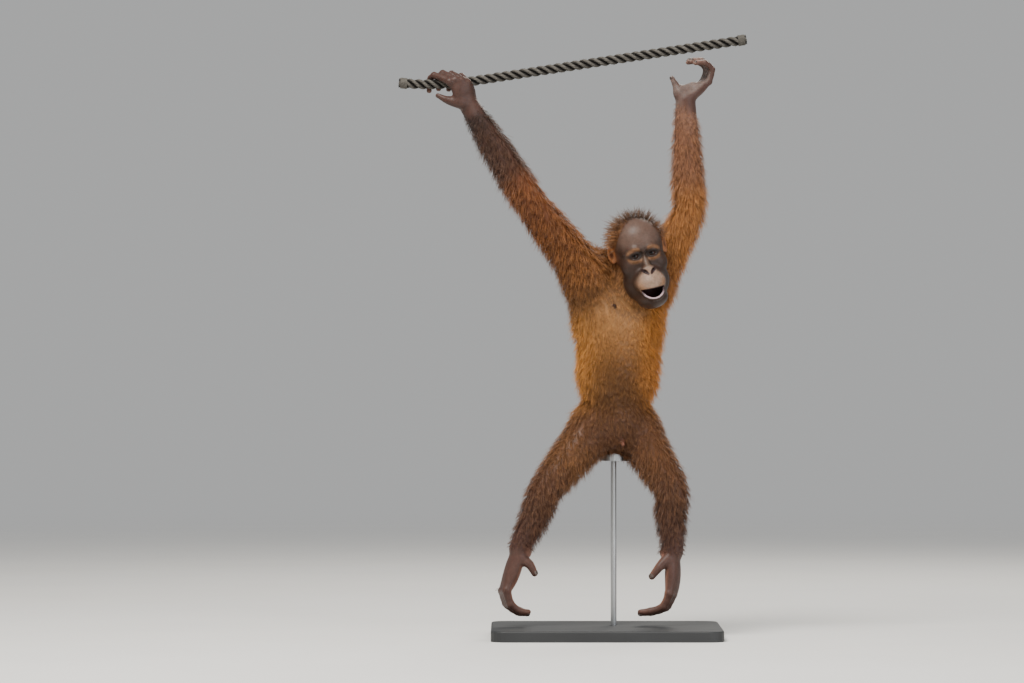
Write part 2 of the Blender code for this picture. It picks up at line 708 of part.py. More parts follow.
def node_places():
    """A point well inside each node of the flesh, for naming the pieces."""
    places = {
        "head": mirrored(1, 0, -5, 0),
        "torso": at(26, 2, 600),
        "pelvis": at(16, 6, 425),
        "upper_arm_R": SHOULDER_R * 0.4 + ELBOW_R * 0.6,
        "upper_arm_L": SHOULDER_L * 0.4 + ELBOW_L * 0.6,
        "forearm_R": (ELBOW_R + WRIST_R) / 2,
        "forearm_L": (ELBOW_L + WRIST_L) / 2,
        "thigh_R": HIP_R * 0.4 + KNEE_R * 0.6,
        "thigh_L": HIP_L * 0.4 + KNEE_L * 0.6,
        "shin_R": (KNEE_R + ANKLE_R) / 2,
        "shin_L": (KNEE_L + ANKLE_L) / 2,
    }
    for name, grip in GRIPS.items():
        where, side = name.split("_")
        ends = "fingers_" if where == "hand" else "toes_"
        short = "thumb_" if where == "hand" else "great_toe_"
        places[name] = grip.place(grip.span * 0.5, 0, 0)
        places[ends + side] = sum(digit[1] * 0.5 + digit[2] * 0.5 for digit in grip.digits) / 4
        places[short + side] = grip.thumb[-1]
    for side, letter in ((-1, "R"), (1, "L")):
        x, y, z = EAR_PLACE
        places["ear_" + letter] = mirrored(side, x + 3, y, z)
    return places


def volume_of(obj):
    bm = bmesh.new()
    bm.from_mesh(obj.data)
    volume = bm.calc_volume()
    bm.free()
    return volume


def name_pieces(pieces):
    """Names each piece by the place it holds, largest pieces first, and drops the scraps."""
    places = node_places()
    pieces = sorted(pieces, key=volume_of, reverse=True)[: len(places)]
    apart = {}
    for piece in pieces:
        points = points_of(piece.data)
        for name, place in places.items():
            near = np.linalg.norm(points - place, axis=1)
            middle = np.linalg.norm((points.min(axis=0) + points.max(axis=0)) / 2 - place)
            apart[piece.name, name] = near.min() + 0.5 * middle
    named, taken = {}, set()
    for pair in sorted(apart, key=apart.get):
        if pair[0] in taken or pair[1] in named:
            continue
        taken.add(pair[0])
        named[pair[1]] = bpy.data.objects[pair[0]]
    return named


# The rope: its middle line, its strands and the room the hand keeps round it
ROPE_RADIUS = 10.0
ROPE_STRANDS = 4
ROPE_LAY = 54.0
ROPE_STEP = 7.8
ROPE_ENDS = (-412.0, 276.0)


def rope_height(x):
    """The rope hangs a little slack: lowest beside the holding hand and rising to the left hand."""
    return 1107.0 + 0.152 * (x + 263.0) + 0.00085 * max(0.0, -263.0 - x) ** 2


def rope_points(step=ROPE_STEP):
    start, end = ROPE_ENDS
    count = int((end - start) / step)
    return [at(x, -90, rope_height(x)) for x in np.linspace(start, end, count + 1)]


def tube(name, points, radius, profile=None, twist=0.0, sides=3):
    """A curve with a bevel and flat ends, made into a closed mesh."""
    curve = bpy.data.curves.new(name, "CURVE")
    curve.dimensions = "3D"
    curve.twist_mode = "Z_UP"
    curve.use_fill_caps = True
    if profile is None:
        curve.bevel_depth = radius
        curve.bevel_resolution = sides
    else:
        curve.bevel_mode = "OBJECT"
        curve.bevel_object = profile
    spline = curve.splines.new("POLY")
    spline.points.add(len(points) - 1)
    run = 0.0
    for number, point in enumerate(points):
        if number:
            run += np.linalg.norm(point - points[number - 1])
        spline.points[number].co = (*point, 1.0)
        spline.points[number].tilt = run * twist
    obj = bpy.data.objects.new(name, curve)
    bpy.context.scene.collection.objects.link(obj)
    graph = bpy.context.evaluated_depsgraph_get()
    mesh = bpy.data.meshes.new_from_object(obj.evaluated_get(graph))
    bpy.data.objects.remove(obj)
    bm = bmesh.new()
    bm.from_mesh(mesh)
    bmesh.ops.remove_doubles(bm, verts=bm.verts, dist=1e-6)
    bmesh.ops.recalc_face_normals(bm, faces=bm.faces)
    bpy.data.meshes.remove(mesh)
    return mesh_object(name, bm)


def strand_profile():
    """The rope's outline across: one low and one high point for each strand."""
    curve = bpy.data.curves.new("strands", "CURVE")
    curve.dimensions = "2D"
    spline = curve.splines.new("POLY")
    spline.points.add(2 * ROPE_STRANDS - 1)
    for number in range(2 * ROPE_STRANDS):
        angle = math.pi * number / ROPE_STRANDS
        radius = (ROPE_RADIUS if number % 2 == 0 else ROPE_RADIUS * 0.8) * MM
        spline.points[number].co = (radius * math.cos(angle), radius * math.sin(angle), 0.0, 1.0)
    spline.use_cyclic_u = True
    obj = bpy.data.objects.new("strands", curve)
    bpy.context.scene.collection.objects.link(obj)
    return obj


def make_rope():
    profile = strand_profile()
    twist = -2.0 * math.pi / (ROPE_LAY * MM)
    rope = tube("rope", rope_points(), 0.0, profile, twist)
    bpy.data.objects.remove(profile)
    return rope


# The stand: a flat plate, one rod behind the crotch and a rest that cups the rump
BASE_SIZE = (460.0, 340.0, 22.0)
BASE_CORNER = 30.0
ROD_PLACE = (16.0, 34.0)
ROD_RADIUS = 6.0
REST_RADIUS = 30.0
REST_LEVELS = (352.0, 392.0)


def round_bar(name, low, high, radius, segments):
    bm = bmesh.new()
    x, y = ROD_PLACE
    bmesh.ops.create_cone(
        bm, cap_ends=True, segments=segments, radius1=radius * MM, radius2=radius * MM,
        depth=(high - low) * MM, matrix=Matrix.Translation(Vector(at(x, y, (low + high) / 2))),
    )
    return mesh_object(name, bm)


def make_stand(nodes):
    """The plate, the rod, and the rest cut to the rump with a thin gap."""
    bm = bmesh.new()
    size = np.array(BASE_SIZE) * MM
    place = Matrix.Translation(Vector((0, 0, size[2] / 2))) @ Matrix.Diagonal((*size, 1.0))
    bmesh.ops.create_cube(bm, size=1.0, matrix=place)
    upright = [edge for edge in bm.edges if abs(edge.verts[0].co.z - edge.verts[1].co.z) > 0.01]
    bmesh.ops.bevel(bm, geom=upright, offset=BASE_CORNER * MM, segments=5, profile=0.5, affect="EDGES")
    rim = [edge for edge in bm.edges if min(v.co.z for v in edge.verts) > size[2] - 1e-5]
    bmesh.ops.bevel(bm, geom=rim, offset=3 * MM, segments=2, profile=0.5, affect="EDGES")
    base = mesh_object("stand_base", bm)
    low, high = REST_LEVELS
    rest = round_bar("stand_rest", low, high, REST_RADIUS, 24)
    rod = round_bar("stand_rod", BASE_SIZE[2] + 0.3, low - 0.3, ROD_RADIUS, 16)
    for name in ("pelvis", "thigh_R", "thigh_L"):
        for drop in (0.5, 0.0):
            lowered = nodes[name].copy()
            lowered.data = nodes[name].data.copy()
            lowered.location = (0, 0, -drop * MM)
            bpy.context.scene.collection.objects.link(lowered)
            cut(rest, lowered)
            bpy.data.objects.remove(lowered)
    pieces = sorted(pieces_of(rest), key=volume_of)
    for scrap in pieces[:-1]:
        bpy.data.objects.remove(scrap)
    pieces[-1].name = "stand_rest"
    return {"stand_base": base, "stand_rod": rod, "stand_rest": pieces[-1]}


def make_eyes(skin):
    """The eyeballs, and the room for them in the skin."""
    eyes = {}
    for side, letter in ((-1, "R"), (1, "L")):
        for name, extra in (("room", 0.3), ("eye_" + letter, 0.0)):
            bm = bmesh.new()
            turn = Matrix(HEAD_TURN).to_4x4() @ Matrix.Rotation(math.pi / 2, 4, "X")
            place = Matrix.Translation(Vector(mirrored(side, *EYE_PLACE))) @ turn
            radius = (EYE_RADIUS + extra) * MM
            bmesh.ops.create_uvsphere(bm, u_segments=16, v_segments=10, radius=radius, matrix=place)
            ball = mesh_object(name, bm)
            if name == "room":
                cut(skin, ball)
                bpy.data.objects.remove(ball)
            else:
                eyes[name] = ball
    return eyes


COLOURS = {
    "coat": (0.32, 0.12, 0.04),
    "dark_skin": (0.12, 0.07, 0.06),
    "face": (0.16, 0.11, 0.09),
    "eye": (0.02, 0.012, 0.008),
    "rope": (0.16, 0.15, 0.12),
    "stand": (0.03, 0.03, 0.03),
    "steel": (0.5, 0.5, 0.5),
}


def tone_of(name):
    if name.startswith("eye"):
        return "eye"
    if name.startswith("stand"):
        return "stand" if name == "stand_base" else "steel"
    if name == "rope":
        return "rope"
    if name in ("head", "ear_L", "ear_R"):
        return "face"
    if name.split("_")[0] in ("hand", "foot", "fingers", "toes", "thumb", "great"):
        return "dark_skin"
    return "coat"


def dress(nodes, collection):
    """Puts the nodes in their collection, each with a material of its own and smooth shading."""
    for name, obj in nodes.items():
        obj.name = name
        obj.data.name = name
        linked(obj, collection)
        material = bpy.data.materials.new(name)
        material.use_nodes = True
        shader = material.node_tree.nodes["Principled BSDF"]
        shader.inputs["Base Color"].default_value = (*COLOURS[tone_of(name)], 1.0)
        shader.inputs["Metallic"].default_value = 1.0 if tone_of(name) == "steel" else 0.0
        shader.inputs["Roughness"].default_value = 0.2 if tone_of(name) == "eye" else 0.6
        obj.data.materials.clear()
        obj.data.materials.append(material)
        for face in obj.data.polygons:
            face.material_index = 0
        bpy.ops.object.select_all(action="DESELECT")
        obj.select_set(True)
        bpy.context.view_layer.objects.active = obj
        bpy.ops.object.shade_smooth_by_angle(angle=math.radians(50))


def clear_scene():
    for obj in list(bpy.data.objects):
        bpy.data.objects.remove(obj)


def regions():
    """The parts of the skin that keep more triangles."""
    kept = [(mirrored(1, 0, -24, -18), 0.106, 1500)]
    for grip in GRIPS.values():
        kept.append((grip.place(grip.span * 0.9, 0, 0), 0.105, 640))
    return kept


COAT_DEPTH = 7.0 * MM


def main():
    clear_scene()
    orangutan = bpy.data.collections.new("orangutan")
    cutters = bpy.data.collections.new("cutters")
    for collection in (orangutan, cutters):
        bpy.context.scene.collection.children.link(collection)
    body = make_body(lambda points: hairiness(points) * COAT_DEPTH)
    skin = skin_of(body, "skin", VOXEL)
    thinned(skin, regions(), 1500)
    nodes = make_eyes(skin)
    grip_room = tube("grip_room", rope_points(15.0), (ROPE_RADIUS + 0.4) * MM)
    cut(skin, grip_room)
    bpy.data.objects.remove(grip_room)
    for centre, normal, radius in joint_cuts():
        disc(cutters, centre, normal, radius * MM)
    dome(cutters, mirrored(1, *NECK_MIDDLE), HEAD_TURN @ unit(NECK_WAY), NECK_RADIUS * MM, NECK_SPREAD)
    cut(skin, cutters)
    for cutter in list(cutters.objects):
        bpy.data.objects.remove(cutter)
    pieces = pieces_of(skin)
    flesh = name_pieces(pieces)
    for piece in pieces:
        if piece not in flesh.values():
            bpy.data.objects.remove(piece)
    nodes.update(flesh)
    nodes.update(make_stand(nodes))
    nodes["rope"] = make_rope()
    dress(nodes, orangutan)
    bpy.data.collections.remove(cutters)
    for name in sorted(nodes):
        print(name, len(nodes[name].data.polygons), round(volume_of(nodes[name]) * 1e6, 2))


if __name__ == "__main__":
    main()
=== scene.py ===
"""A young orangutan that hangs by one hand from a stretched rope, dressed around its CAD solids.

One skin takes the place of the flesh solids, tufts of hair follow the lie of the coat over it, and the
eyes, nails, rope and stand are pieces of their own. X runs to the animal's left as it is seen from the
front, Y runs away from the viewer and Z runs up. The origin is the middle of the stand's underside.
"""

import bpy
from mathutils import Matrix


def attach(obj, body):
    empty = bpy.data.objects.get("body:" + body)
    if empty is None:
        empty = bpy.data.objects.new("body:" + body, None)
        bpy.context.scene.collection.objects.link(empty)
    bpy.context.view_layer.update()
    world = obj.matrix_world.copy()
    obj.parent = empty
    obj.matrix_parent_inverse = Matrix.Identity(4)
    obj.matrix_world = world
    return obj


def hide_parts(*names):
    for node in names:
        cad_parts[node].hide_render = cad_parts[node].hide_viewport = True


bl_info = {
    "name": "Young orangutan on a rope",
    "version": (1, 0, 0),
    "blender": (4, 5, 0),
    "location": "3D View > Sidebar > Orangutan",
    "description": "Builds the skin, coat, eyes, nails, rope, stand finish and studio of the model",
    "category": "Object",
}

import math

import bmesh
import bpy
import numpy as np
from bpy.props import FloatProperty, FloatVectorProperty, IntProperty, PointerProperty
from mathutils import Matrix, Vector
from mathutils.bvhtree import BVHTree

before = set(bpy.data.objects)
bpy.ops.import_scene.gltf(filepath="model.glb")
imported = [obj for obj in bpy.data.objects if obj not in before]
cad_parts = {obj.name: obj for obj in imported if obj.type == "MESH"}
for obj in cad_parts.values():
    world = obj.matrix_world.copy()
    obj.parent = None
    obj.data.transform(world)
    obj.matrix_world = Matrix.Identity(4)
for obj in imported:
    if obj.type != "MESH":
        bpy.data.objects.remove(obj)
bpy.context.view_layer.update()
MM = 0.001
DOWN = np.array([0.0, 0.0, -1.0])
shared = {}


def at(x, y, z):
    """A point given in millimetres, in metres."""
    return np.array([x, y, z], float) * MM


def unit(vector):
    vector = np.asarray(vector, float)
    return vector / np.linalg.norm(vector)


def smooth(value, low, high):
    """Nothing up to the low value, one from the high value on, and a soft rise between them."""
    share = np.clip((value - low) / (high - low), 0.0, 1.0)
    return share * share * (3.0 - 2.0 * share)


def gap(points, place):
    """How many millimetres each point is from a place."""
    return np.linalg.norm(points - place, axis=1) / MM


def turned(pitch=0.0, roll=0.0, yaw=0.0):
    """The turn matrix of a pitch about X, then a roll about Y, then a yaw about Z, in degrees."""
    turn = Matrix.Rotation(math.radians(yaw), 3, "Z")
    turn = turn @ Matrix.Rotation(math.radians(roll), 3, "Y")
    return np.array(turn @ Matrix.Rotation(math.radians(pitch), 3, "X"))


# The pose: joint centres in millimetres
SHOULDER_R = at(-40, -34, 728)
ELBOW_R = at(-152, -108, 868)
WRIST_R = at(-275, -92, 1062)
SHOULDER_L = at(94, 60, 702)
ELBOW_L = at(167, 30, 853)
WRIST_L = at(158, -22, 1075)
HIP_R = at(-24, 2, 418)
KNEE_R = at(-120, -52, 300)
ANKLE_R = at(-173, -22, 178)
HIP_L = at(62, 24, 414)
KNEE_L = at(130, -30, 296)
ANKLE_L = at(134, -2, 172)
TRUNK_TURN = turned(yaw=27.0)
HEAD_CENTRE = at(65, -54, 765)
HEAD_TURN = turned(pitch=3, roll=-13, yaw=8)
CHEST_MIDDLE = at(24, 0, 600)
NUB = at(32, -36, 388)


# The forms that the flesh is made of


class Egg:
    """An ellipsoid with a centre, three half-sizes and a turn."""

    def __init__(self, centre, radii, turn=None):
        self.centre = np.asarray(centre, float)
        self.radii = np.asarray(radii, float)
        self.turn = np.eye(3) if turn is None else turn
        self.bound = self.radii.max()

    def distance(self, points):
        local = (points - self.centre) @ self.turn
        near = np.linalg.norm(local / self.radii, axis=1)
        slope = np.linalg.norm(local / self.radii**2, axis=1)
        scale = np.where(slope > 1e-3, near / np.maximum(slope, 1e-9), self.radii.min())
        return scale * (near - 1.0)

    def add_to(self, bm):
        place = Matrix.Translation(Vector(self.centre)) @ Matrix(self.turn).to_4x4()
        place = place @ Matrix.Diagonal((*self.radii, 1.0))
        bmesh.ops.create_icosphere(bm, subdivisions=3, radius=1.0, matrix=place)


def rounded(points, radii, parts):
    """Points and radii of a smooth run through the given ones."""
    rows = np.column_stack([np.asarray(points, float), np.asarray(radii, float)])
    ends = np.vstack([2 * rows[0] - rows[1], rows, 2 * rows[-1] - rows[-2]])
    run = [rows[0]]
    for k in range(1, len(ends) - 2):
        before, start, end, after = ends[k - 1 : k + 3]
        for part in range(1, parts + 1):
            t = part / parts
            bend = (end - before) * t + (2 * before - 5 * start + 4 * end - after) * t * t
            run.append(start + 0.5 * (bend + (3 * start - before - 3 * end + after) * t**3))
    run = np.array(run)
    return run[:, :3], run[:, 3]


class Limb:
    """A smooth run of flesh through several points, with a radius at each."""

    def __init__(self, points, radii, parts=1):
        self.points, self.radii = rounded(points, np.array(radii, float) * MM, parts)
        self.centre = (self.points.min(axis=0) + self.points.max(axis=0)) / 2
        self.bound = (np.linalg.norm(self.points - self.centre, axis=1) + self.radii).max()

    def spans(self):
        return zip(self.points, self.points[1:], self.radii, self.radii[1:])

    def distance(self, points):
        best = np.full(len(points), 1.0)
        for start, end, first, last in self.spans():
            along = end - start
            share = np.clip((points - start) @ along / (along @ along), 0.0, 1.0)
            radius = first + (last - first) * share
            apart = np.linalg.norm(points - start - share[:, None] * along, axis=1) - radius
            best = np.minimum(best, apart)
        return best

    def add_to(self, bm):
        for start, end, first, last in self.spans():
            hull = bmesh.new()
            for point, radius in ((start, first), (end, last)):
                place = Matrix.Translation(Vector(point))
                bmesh.ops.create_icosphere(hull, subdivisions=2, radius=radius, matrix=place)
            made = bmesh.ops.convex_hull(hull, input=list(hull.verts), use_existing_faces=False)
            kept = set(made["geom"])
            inside = [vert for vert in hull.verts if vert not in kept]
            bmesh.ops.delete(hull, geom=inside, context="VERTS")
            inner = [face for face in hull.faces if face not in kept]
            bmesh.ops.delete(hull, geom=inner, context="FACES")
            shape = bpy.data.meshes.new("hull")
            hull.to_mesh(shape)
            hull.free()
            bm.from_mesh(shape)
            bpy.data.meshes.remove(shape)


class Bowl(Egg):
    """The part of an egg below a level of its own frame."""

    def __init__(self, centre, radii, turn, level):
        super().__init__(centre, radii, turn)
        self.level = level

    def distance(self, points):
        height = ((points - self.centre) @ self.turn)[:, 2] - self.level
        return np.maximum(super().distance(points), height)

    def add_to(self, bm):
        bowl = bmesh.new()
        super().add_to(bowl)
        centre = self.centre + self.turn[:, 2] * self.level
        geometry = bowl.verts[:] + bowl.edges[:] + bowl.faces[:]
        bmesh.ops.bisect_plane(
            bowl, geom=geometry, plane_co=Vector(centre), plane_no=Vector(self.turn[:, 2]), clear_outer=True
        )
        bmesh.ops.holes_fill(bowl, edges=[edge for edge in bowl.edges if edge.is_boundary], sides=0)
        shape = bpy.data.meshes.new("bowl")
        bowl.to_mesh(shape)
        bowl.free()
        bm.from_mesh(shape)
        bpy.data.meshes.remove(shape)


def blend(first, second, reach):
    """The smaller of two distances, rounded where they are within reach of each other."""
    share = np.clip(0.5 + 0.5 * (second - first) / reach, 0.0, 1.0)
    return second + (first - second) * share - reach * share * (1.0 - share)


# How near a form its full distance is worked out, and the size of the cells that list the near forms
CULL = 32 * MM
CELL = 40 * MM


def form_distance(form, points):
    """The form's distance, worked out in full only where the form is near."""
    rough = np.linalg.norm(points - form.centre, axis=1) - form.bound
    near = rough < CULL
    if near.any():
        rough[near] = form.distance(points[near])
    return rough


# Four places round a point, in steps, that give the way out of a form
PROBES = np.array([[1, -1, -1], [-1, -1, 1], [-1, 1, -1], [1, 1, 1]], float)


class Body:
    """Flesh as steps in order: forms that are added and forms that are hollowed out."""

    def __init__(self):
        self.steps = []
        self.near = {}

    def add(self, form, reach):
        self.steps.append((form, reach * MM, True))

    def hollow(self, form, reach):
        self.steps.append((form, reach * MM, False))

    def steps_near(self, cell):
        """The steps that matter inside one cell of space."""
        if cell not in self.near:
            middle = (np.array(cell) + 0.5) * CELL
            limit = CELL * 0.87 + CULL
            self.near[cell] = [
                step for step in self.steps if np.linalg.norm(step[0].centre - middle) - step[0].bound < limit
            ]
        return self.near[cell]

    def distance(self, points):
        total = np.full(len(points), 1.0)
        cells = np.floor(points / CELL).astype(int)
        keys = (cells[:, 0] * 1000 + cells[:, 1]) * 1000 + cells[:, 2]
        order = np.argsort(keys, kind="stable")
        edges = np.flatnonzero(np.diff(keys[order])) + 1
        for group in np.split(order, edges):
            spot = points[group]
            value = np.full(len(group), 1.0)
            for form, reach, added in self.steps_near(tuple(cells[group[0]])):
                apart = form_distance(form, spot)
                if added:
                    value = blend(value, apart, reach)
                else:
                    value = -blend(-value, apart, reach)
            total[group] = value
        return total

    def settle(self, points, rounds=3, step=0.4 * MM):
        """Draws points onto the surface, and gives the way out there as well."""
        for _ in range(rounds):
            values = [self.distance(points + probe * step) for probe in PROBES]
            out = sum(v[:, None] * probe for v, probe in zip(values, PROBES))
            out /= 4.0 * step
            size = np.maximum(np.linalg.norm(out, axis=1), 0.2)
            move = np.clip(sum(values) / 4.0 / size, -3 * MM, 3 * MM)
            points = points - out / size[:, None] * move[:, None]
            out = out / np.maximum(np.linalg.norm(out, axis=1), 1e-9)[:, None]
        return points, out


def mirrored(side, x, y, z):
    """A place in the head's own frame, given for the animal's left and mirrored for its right."""
    return HEAD_CENTRE + HEAD_TURN @ at(side * x, y, z)


def chain(body, points, radii, reach, parts=3):
    """A bent, smooth run of flesh through several points."""
    body.add(Limb(points, radii, parts), reach)


def head_path(side, *places):
    """Several places in the head's own frame."""
    return [mirrored(side, *place) for place in places]


def head_egg(x, y, z, radii, side=1, turn=HEAD_TURN):
    return Egg(mirrored(side, x, y, z), np.array(radii) * MM, turn)


# The head, in its own frame: level zero is the eyes' own level, and the front is at minus Y
EYE_PLACE = (17.5, -42.5, 0.0)
EYE_RADIUS = 11.0
MOUTH_HALF_WIDTH = 23.5
MOUTH_TOP = -66.0
MOUTH_BOTTOM = -87.0
EAR_PLACE = (54.0, 8.0, 10.0)
EAR_TURN = 28.0


def add_skull(body):
    body.add(head_egg(0, 10, 15, (51, 62, 58)), 8)
    body.add(head_egg(0, -16, 30, (42, 39, 40)), 14)
    body.add(head_egg(0, -22, -8, (42, 33, 30)), 12)
    body.add(head_egg(0, -14, -54, (46, 43, 44)), 16)
    for side in (-1, 1):
        chain(body, head_path(side, (4, -53, 10), (18, -53, 14), (34, -39, 9)), (4.5, 5.5, 4.5), 11)
        body.add(head_egg(31, -33, -21, (15, 16, 17), side), 12)


def add_muzzle(body):
    body.add(head_egg(0, -50, -53, (30, 33, 27)), 12)
    body.add(head_egg(0, -62, -57, (29, 24, 17)), 8)
    body.add(head_egg(0, -42, -86, (31, 30, 23)), 10)
    body.add(head_egg(0, -58, -87, (27, 24, 17)), 8)
    chain(body, head_path(1, (0, -51, 6), (0, -56, -12), (0, -65, -27)), (4.5, 5.0, 7.5), 9)
    for side in (-1, 1):
        body.add(head_egg(8, -67, -30, (8.5, 6.5, 7), side), 6)


def mouth_hollow():
    """A half-moon under the upper lip."""
    radii = np.array((MOUTH_HALF_WIDTH, 27, MOUTH_TOP - MOUTH_BOTTOM)) * MM
    return Bowl(mirrored(1, 0, -78, MOUTH_TOP), radii, HEAD_TURN, 0.0)


def lower_lip():
    """A thin rim that sags round the mouth from corner to corner."""
    points = []
    for step in range(9):
        across = step / 4.0 - 1.0
        drop = (1.0 - across * across) ** 0.62
        points.append(mirrored(1, 24 * across, -64 - 19 * drop, MOUTH_TOP - 1 - 21.5 * drop))
    return Limb(points, (2.0, 2.8, 3.2, 3.4, 3.5, 3.4, 3.2, 2.8, 2.0))


def add_mouth(body):
    """The open mouth, with its thin lower lip and the fuller upper one."""
    body.hollow(mouth_hollow(), 2)
    body.add(lower_lip(), 3.5)
    upper = [mirrored(1, 22.5 * t, -67 - 17 * (1 - t * t), MOUTH_TOP + 3.2) for t in (-1, -0.5, 0, 0.5, 1)]
    chain(body, upper, (2.6, 3.6, 4.0, 3.6, 2.6), 4)


def nostril(side):
    """A slit and a short way in: the two slits meet below like the strokes of a V."""
    slit = head_path(side, (12.5, -70, -28.5), (8.5, -74, -31.5), (3.4, -77.5, -36))
    return Limb(slit, (2.4, 3.3, 2.2)), Limb([slit[1], mirrored(side, 6.5, -66, -34)], (2.6, 2.2))


def add_nostrils(body):
    for side in (-1, 1):
        for form in nostril(side):
            body.hollow(form, 1.5)


def add_eyes(body):
    """Deep sockets, the lids as a thick shell round each eye, a fold above and a pouch below."""
    ex, ey, ez = EYE_PLACE
    for side in (-1, 1):
        body.hollow(head_egg(ex + 1, ey - 15, ez, (16, 10, 11), side), 7)
        body.add(head_egg(ex, ey, ez, (EYE_RADIUS + 2.4,) * 3, side, None), 4)
        for lift, sag, thick in ((8.2, 3.4, 2.6), (-8.4, -3.2, 2.4)):
            fold = []
            for turn in (-1.0, -0.5, 0.0, 0.5, 1.0):
                deep, high = ey - 10 + 5 * turn * turn, ez + lift - sag * turn**2
                fold.append(mirrored(side, ex + 12 * turn, deep, high))
            chain(body, fold, (1.6, thick, thick, thick, 1.6), 4, 2)
        body.hollow(head_egg(ex, ey - 18, ez, (11.6, 11.5, 5.2), side), 1.2)


def add_ears(body):
    """Small round ears, each a shell with a cup in its outer face and a lobe below."""
    x, y, z = EAR_PLACE
    for side in (-1, 1):
        turn = HEAD_TURN @ turned(yaw=-side * EAR_TURN)
        body.add(head_egg(x, y, z, (5.0, 11.5, 16.0), side, turn), 3)
        body.add(head_egg(x - 1, y - 3, z - 13, (4.0, 5.5, 6.0), side, turn), 3)
        body.hollow(head_egg(x + 5.2, y - 1.5, z + 1.5, (5.0, 7.6, 11.5), side, turn), 1.5)
        body.hollow(Limb(head_path(side, (x + 2, y - 5, z - 2), (x - 4, y - 7, z - 2)), (2.6, 2.2)), 1.5)


def trunk_egg(x, y, z, radii):
    """An egg of the trunk: a world place, and half-sizes across, front to back and up."""
    return Egg(at(x, y, z), np.array(radii) * MM, TRUNK_TURN)


def trunk_place(base, across, depth, up=0.0):
    """A place given from a point of the trunk, across and deep in the trunk's own frame."""
    return at(*base) + TRUNK_TURN @ at(across, depth, up)


def teat_place(side, depth=-57):
    """The animal's left or right teat, at its tip's depth."""
    return trunk_place((28, 2, 662), side * 42, depth)


def add_trunk(body):
    body.add(trunk_egg(27, 2, 628, (92, 63, 98)), 10)
    body.add(trunk_egg(24, 0, 530, (83, 61, 86)), 30)
    body.add(trunk_egg(17, 6, 438, (70, 55, 54)), 24)
    body.add(trunk_egg(28, 14, 690, (66, 46, 46)), 24)
    chain(body, [at(22, 8, 694), at(42, -10, 730), at(56, -22, 752)], (46, 41, 40), 20)
    nape = [at(-40, -22, 738), at(0, 24, 738), at(50, 44, 714)]
    chain(body, nape, (35, 31, 27), 12)
    for side, hip in ((-1, HIP_R), (1, HIP_L)):
        seat = trunk_place((15, 6, 408), side * 30, 30)
        body.add(Egg(seat, np.array((36, 34, 38)) * MM, TRUNK_TURN), 18)
        body.add(Limb([at(15, 4, 424), hip], (42, 42)), 18)
        teat = teat_place(side, -53)
        body.add(Limb([teat, teat + TRUNK_TURN @ at(0, -4.5, 0)], (3.0, 2.4)), 3)
    body.add(Limb([at(30, -32, 392), at(33, -38, 386)], (5, 4)), 5)


def add_arm(body, shoulder, elbow, wrist, side):
    """Shoulder, upper arm and forearm, with the muscle that swells below the elbow."""
    body.add(Limb([trunk_place((26, 0, 690), side * 44, 6), shoulder], (38, 37)), 20)
    upper = shoulder + (elbow - shoulder) * 0.35
    body.add(Limb([trunk_place((26, 4, 636), side * 62, 8), upper], (26, 26)), 24)
    middle = shoulder + (elbow - shoulder) * 0.55
    belly = elbow + (wrist - elbow) * 0.25
    waist = elbow + (wrist - elbow) * 0.65
    path = [shoulder, middle, elbow, belly, waist, wrist]
    chain(body, path, (38, 33, 27.5, 29, 24, 19.5), 12, 4)


def add_leg(body, hip, knee, ankle):
    """Thigh, knee and shin, with a slight calf."""
    middle = hip + (knee - hip) * 0.5
    behind = unit(np.cross(np.cross(ankle - hip, knee - hip), ankle - knee))
    calf = knee + (ankle - knee) * 0.38 - behind * 4 * MM
    chain(body, [hip, middle, knee, calf, ankle], (44, 37.5, 29, 28, 20.5), 16, 4)


class Grip:
    """A hand or foot: its own frame, its four long digits as joints, and its thumb or great toe."""

    def __init__(self, root, forward, palm, right, span, half_width, deep, radii, digits, thumb, thumb_radii):
        self.root, self.span, self.half_width, self.deep = root, span, half_width, deep
        self.forward = unit(forward)
        self.palm = unit(palm - self.forward * np.dot(palm, self.forward))
        self.side = np.cross(self.forward, self.palm) * (1 if right else -1)
        self.radii, self.digits = radii, digits
        self.thumb, self.thumb_radii = thumb, thumb_radii

    def radii_of(self, number):
        """The joints' radii of a digit, the fourth of which is the thinnest."""
        return [radius * (0.9 if number == 3 else 1.0) for radius in self.radii]

    def place(self, forward, palm, side):
        """A place in the hand's own frame, in millimetres."""
        return self.root + (self.forward * forward + self.palm * palm + self.side * side) * MM


def add_grip(body, grip):
    """The palm or sole, its four long digits with their knuckles, and the thumb or great toe."""
    turn = np.column_stack([grip.side, grip.palm, grip.forward])
    radii = np.array((grip.half_width, grip.deep, grip.span * 0.62)) * MM
    body.add(Egg(grip.place(grip.span * 0.5, 0, 0), radii, turn), 8)
    for number, digit in enumerate(grip.digits):
        r0, r1, r2, r3 = grip.radii_of(number)
        root = grip.root * 0.75 + digit[0] * 0.25
        body.add(Limb([root, digit[0]], (9.5, r0)), 7)
        body.add(Limb(digit, (r0, r1, r2, r3), 2), 2.5)
        for joint, radius in ((digit[0], r0 * 1.05), (digit[1], r1 * 1.1), (digit[2], r2 * 1.08)):
            body.add(Egg(joint, np.full(3, radius * MM)), 2)
    body.add(Limb(grip.thumb, grip.thumb_radii, 2), 6)


def right_fingers():
    """Index to little finger: over the rope, slanting along it, and down behind it."""
    fingers = []
    for number, slant in enumerate((31, 26, 20, 13)):
        knuckle = at(-311 + 11.8 * number, -115 + 2.6 * number, (1104, 1108, 1107, 1103)[number])
        middle = knuckle + at(-slant, 24, 14)
        last = middle + at(-0.35 * slant, 17, -13)
        fingers.append([knuckle, middle, last, last + at(1, -3, -17)])
    return fingers


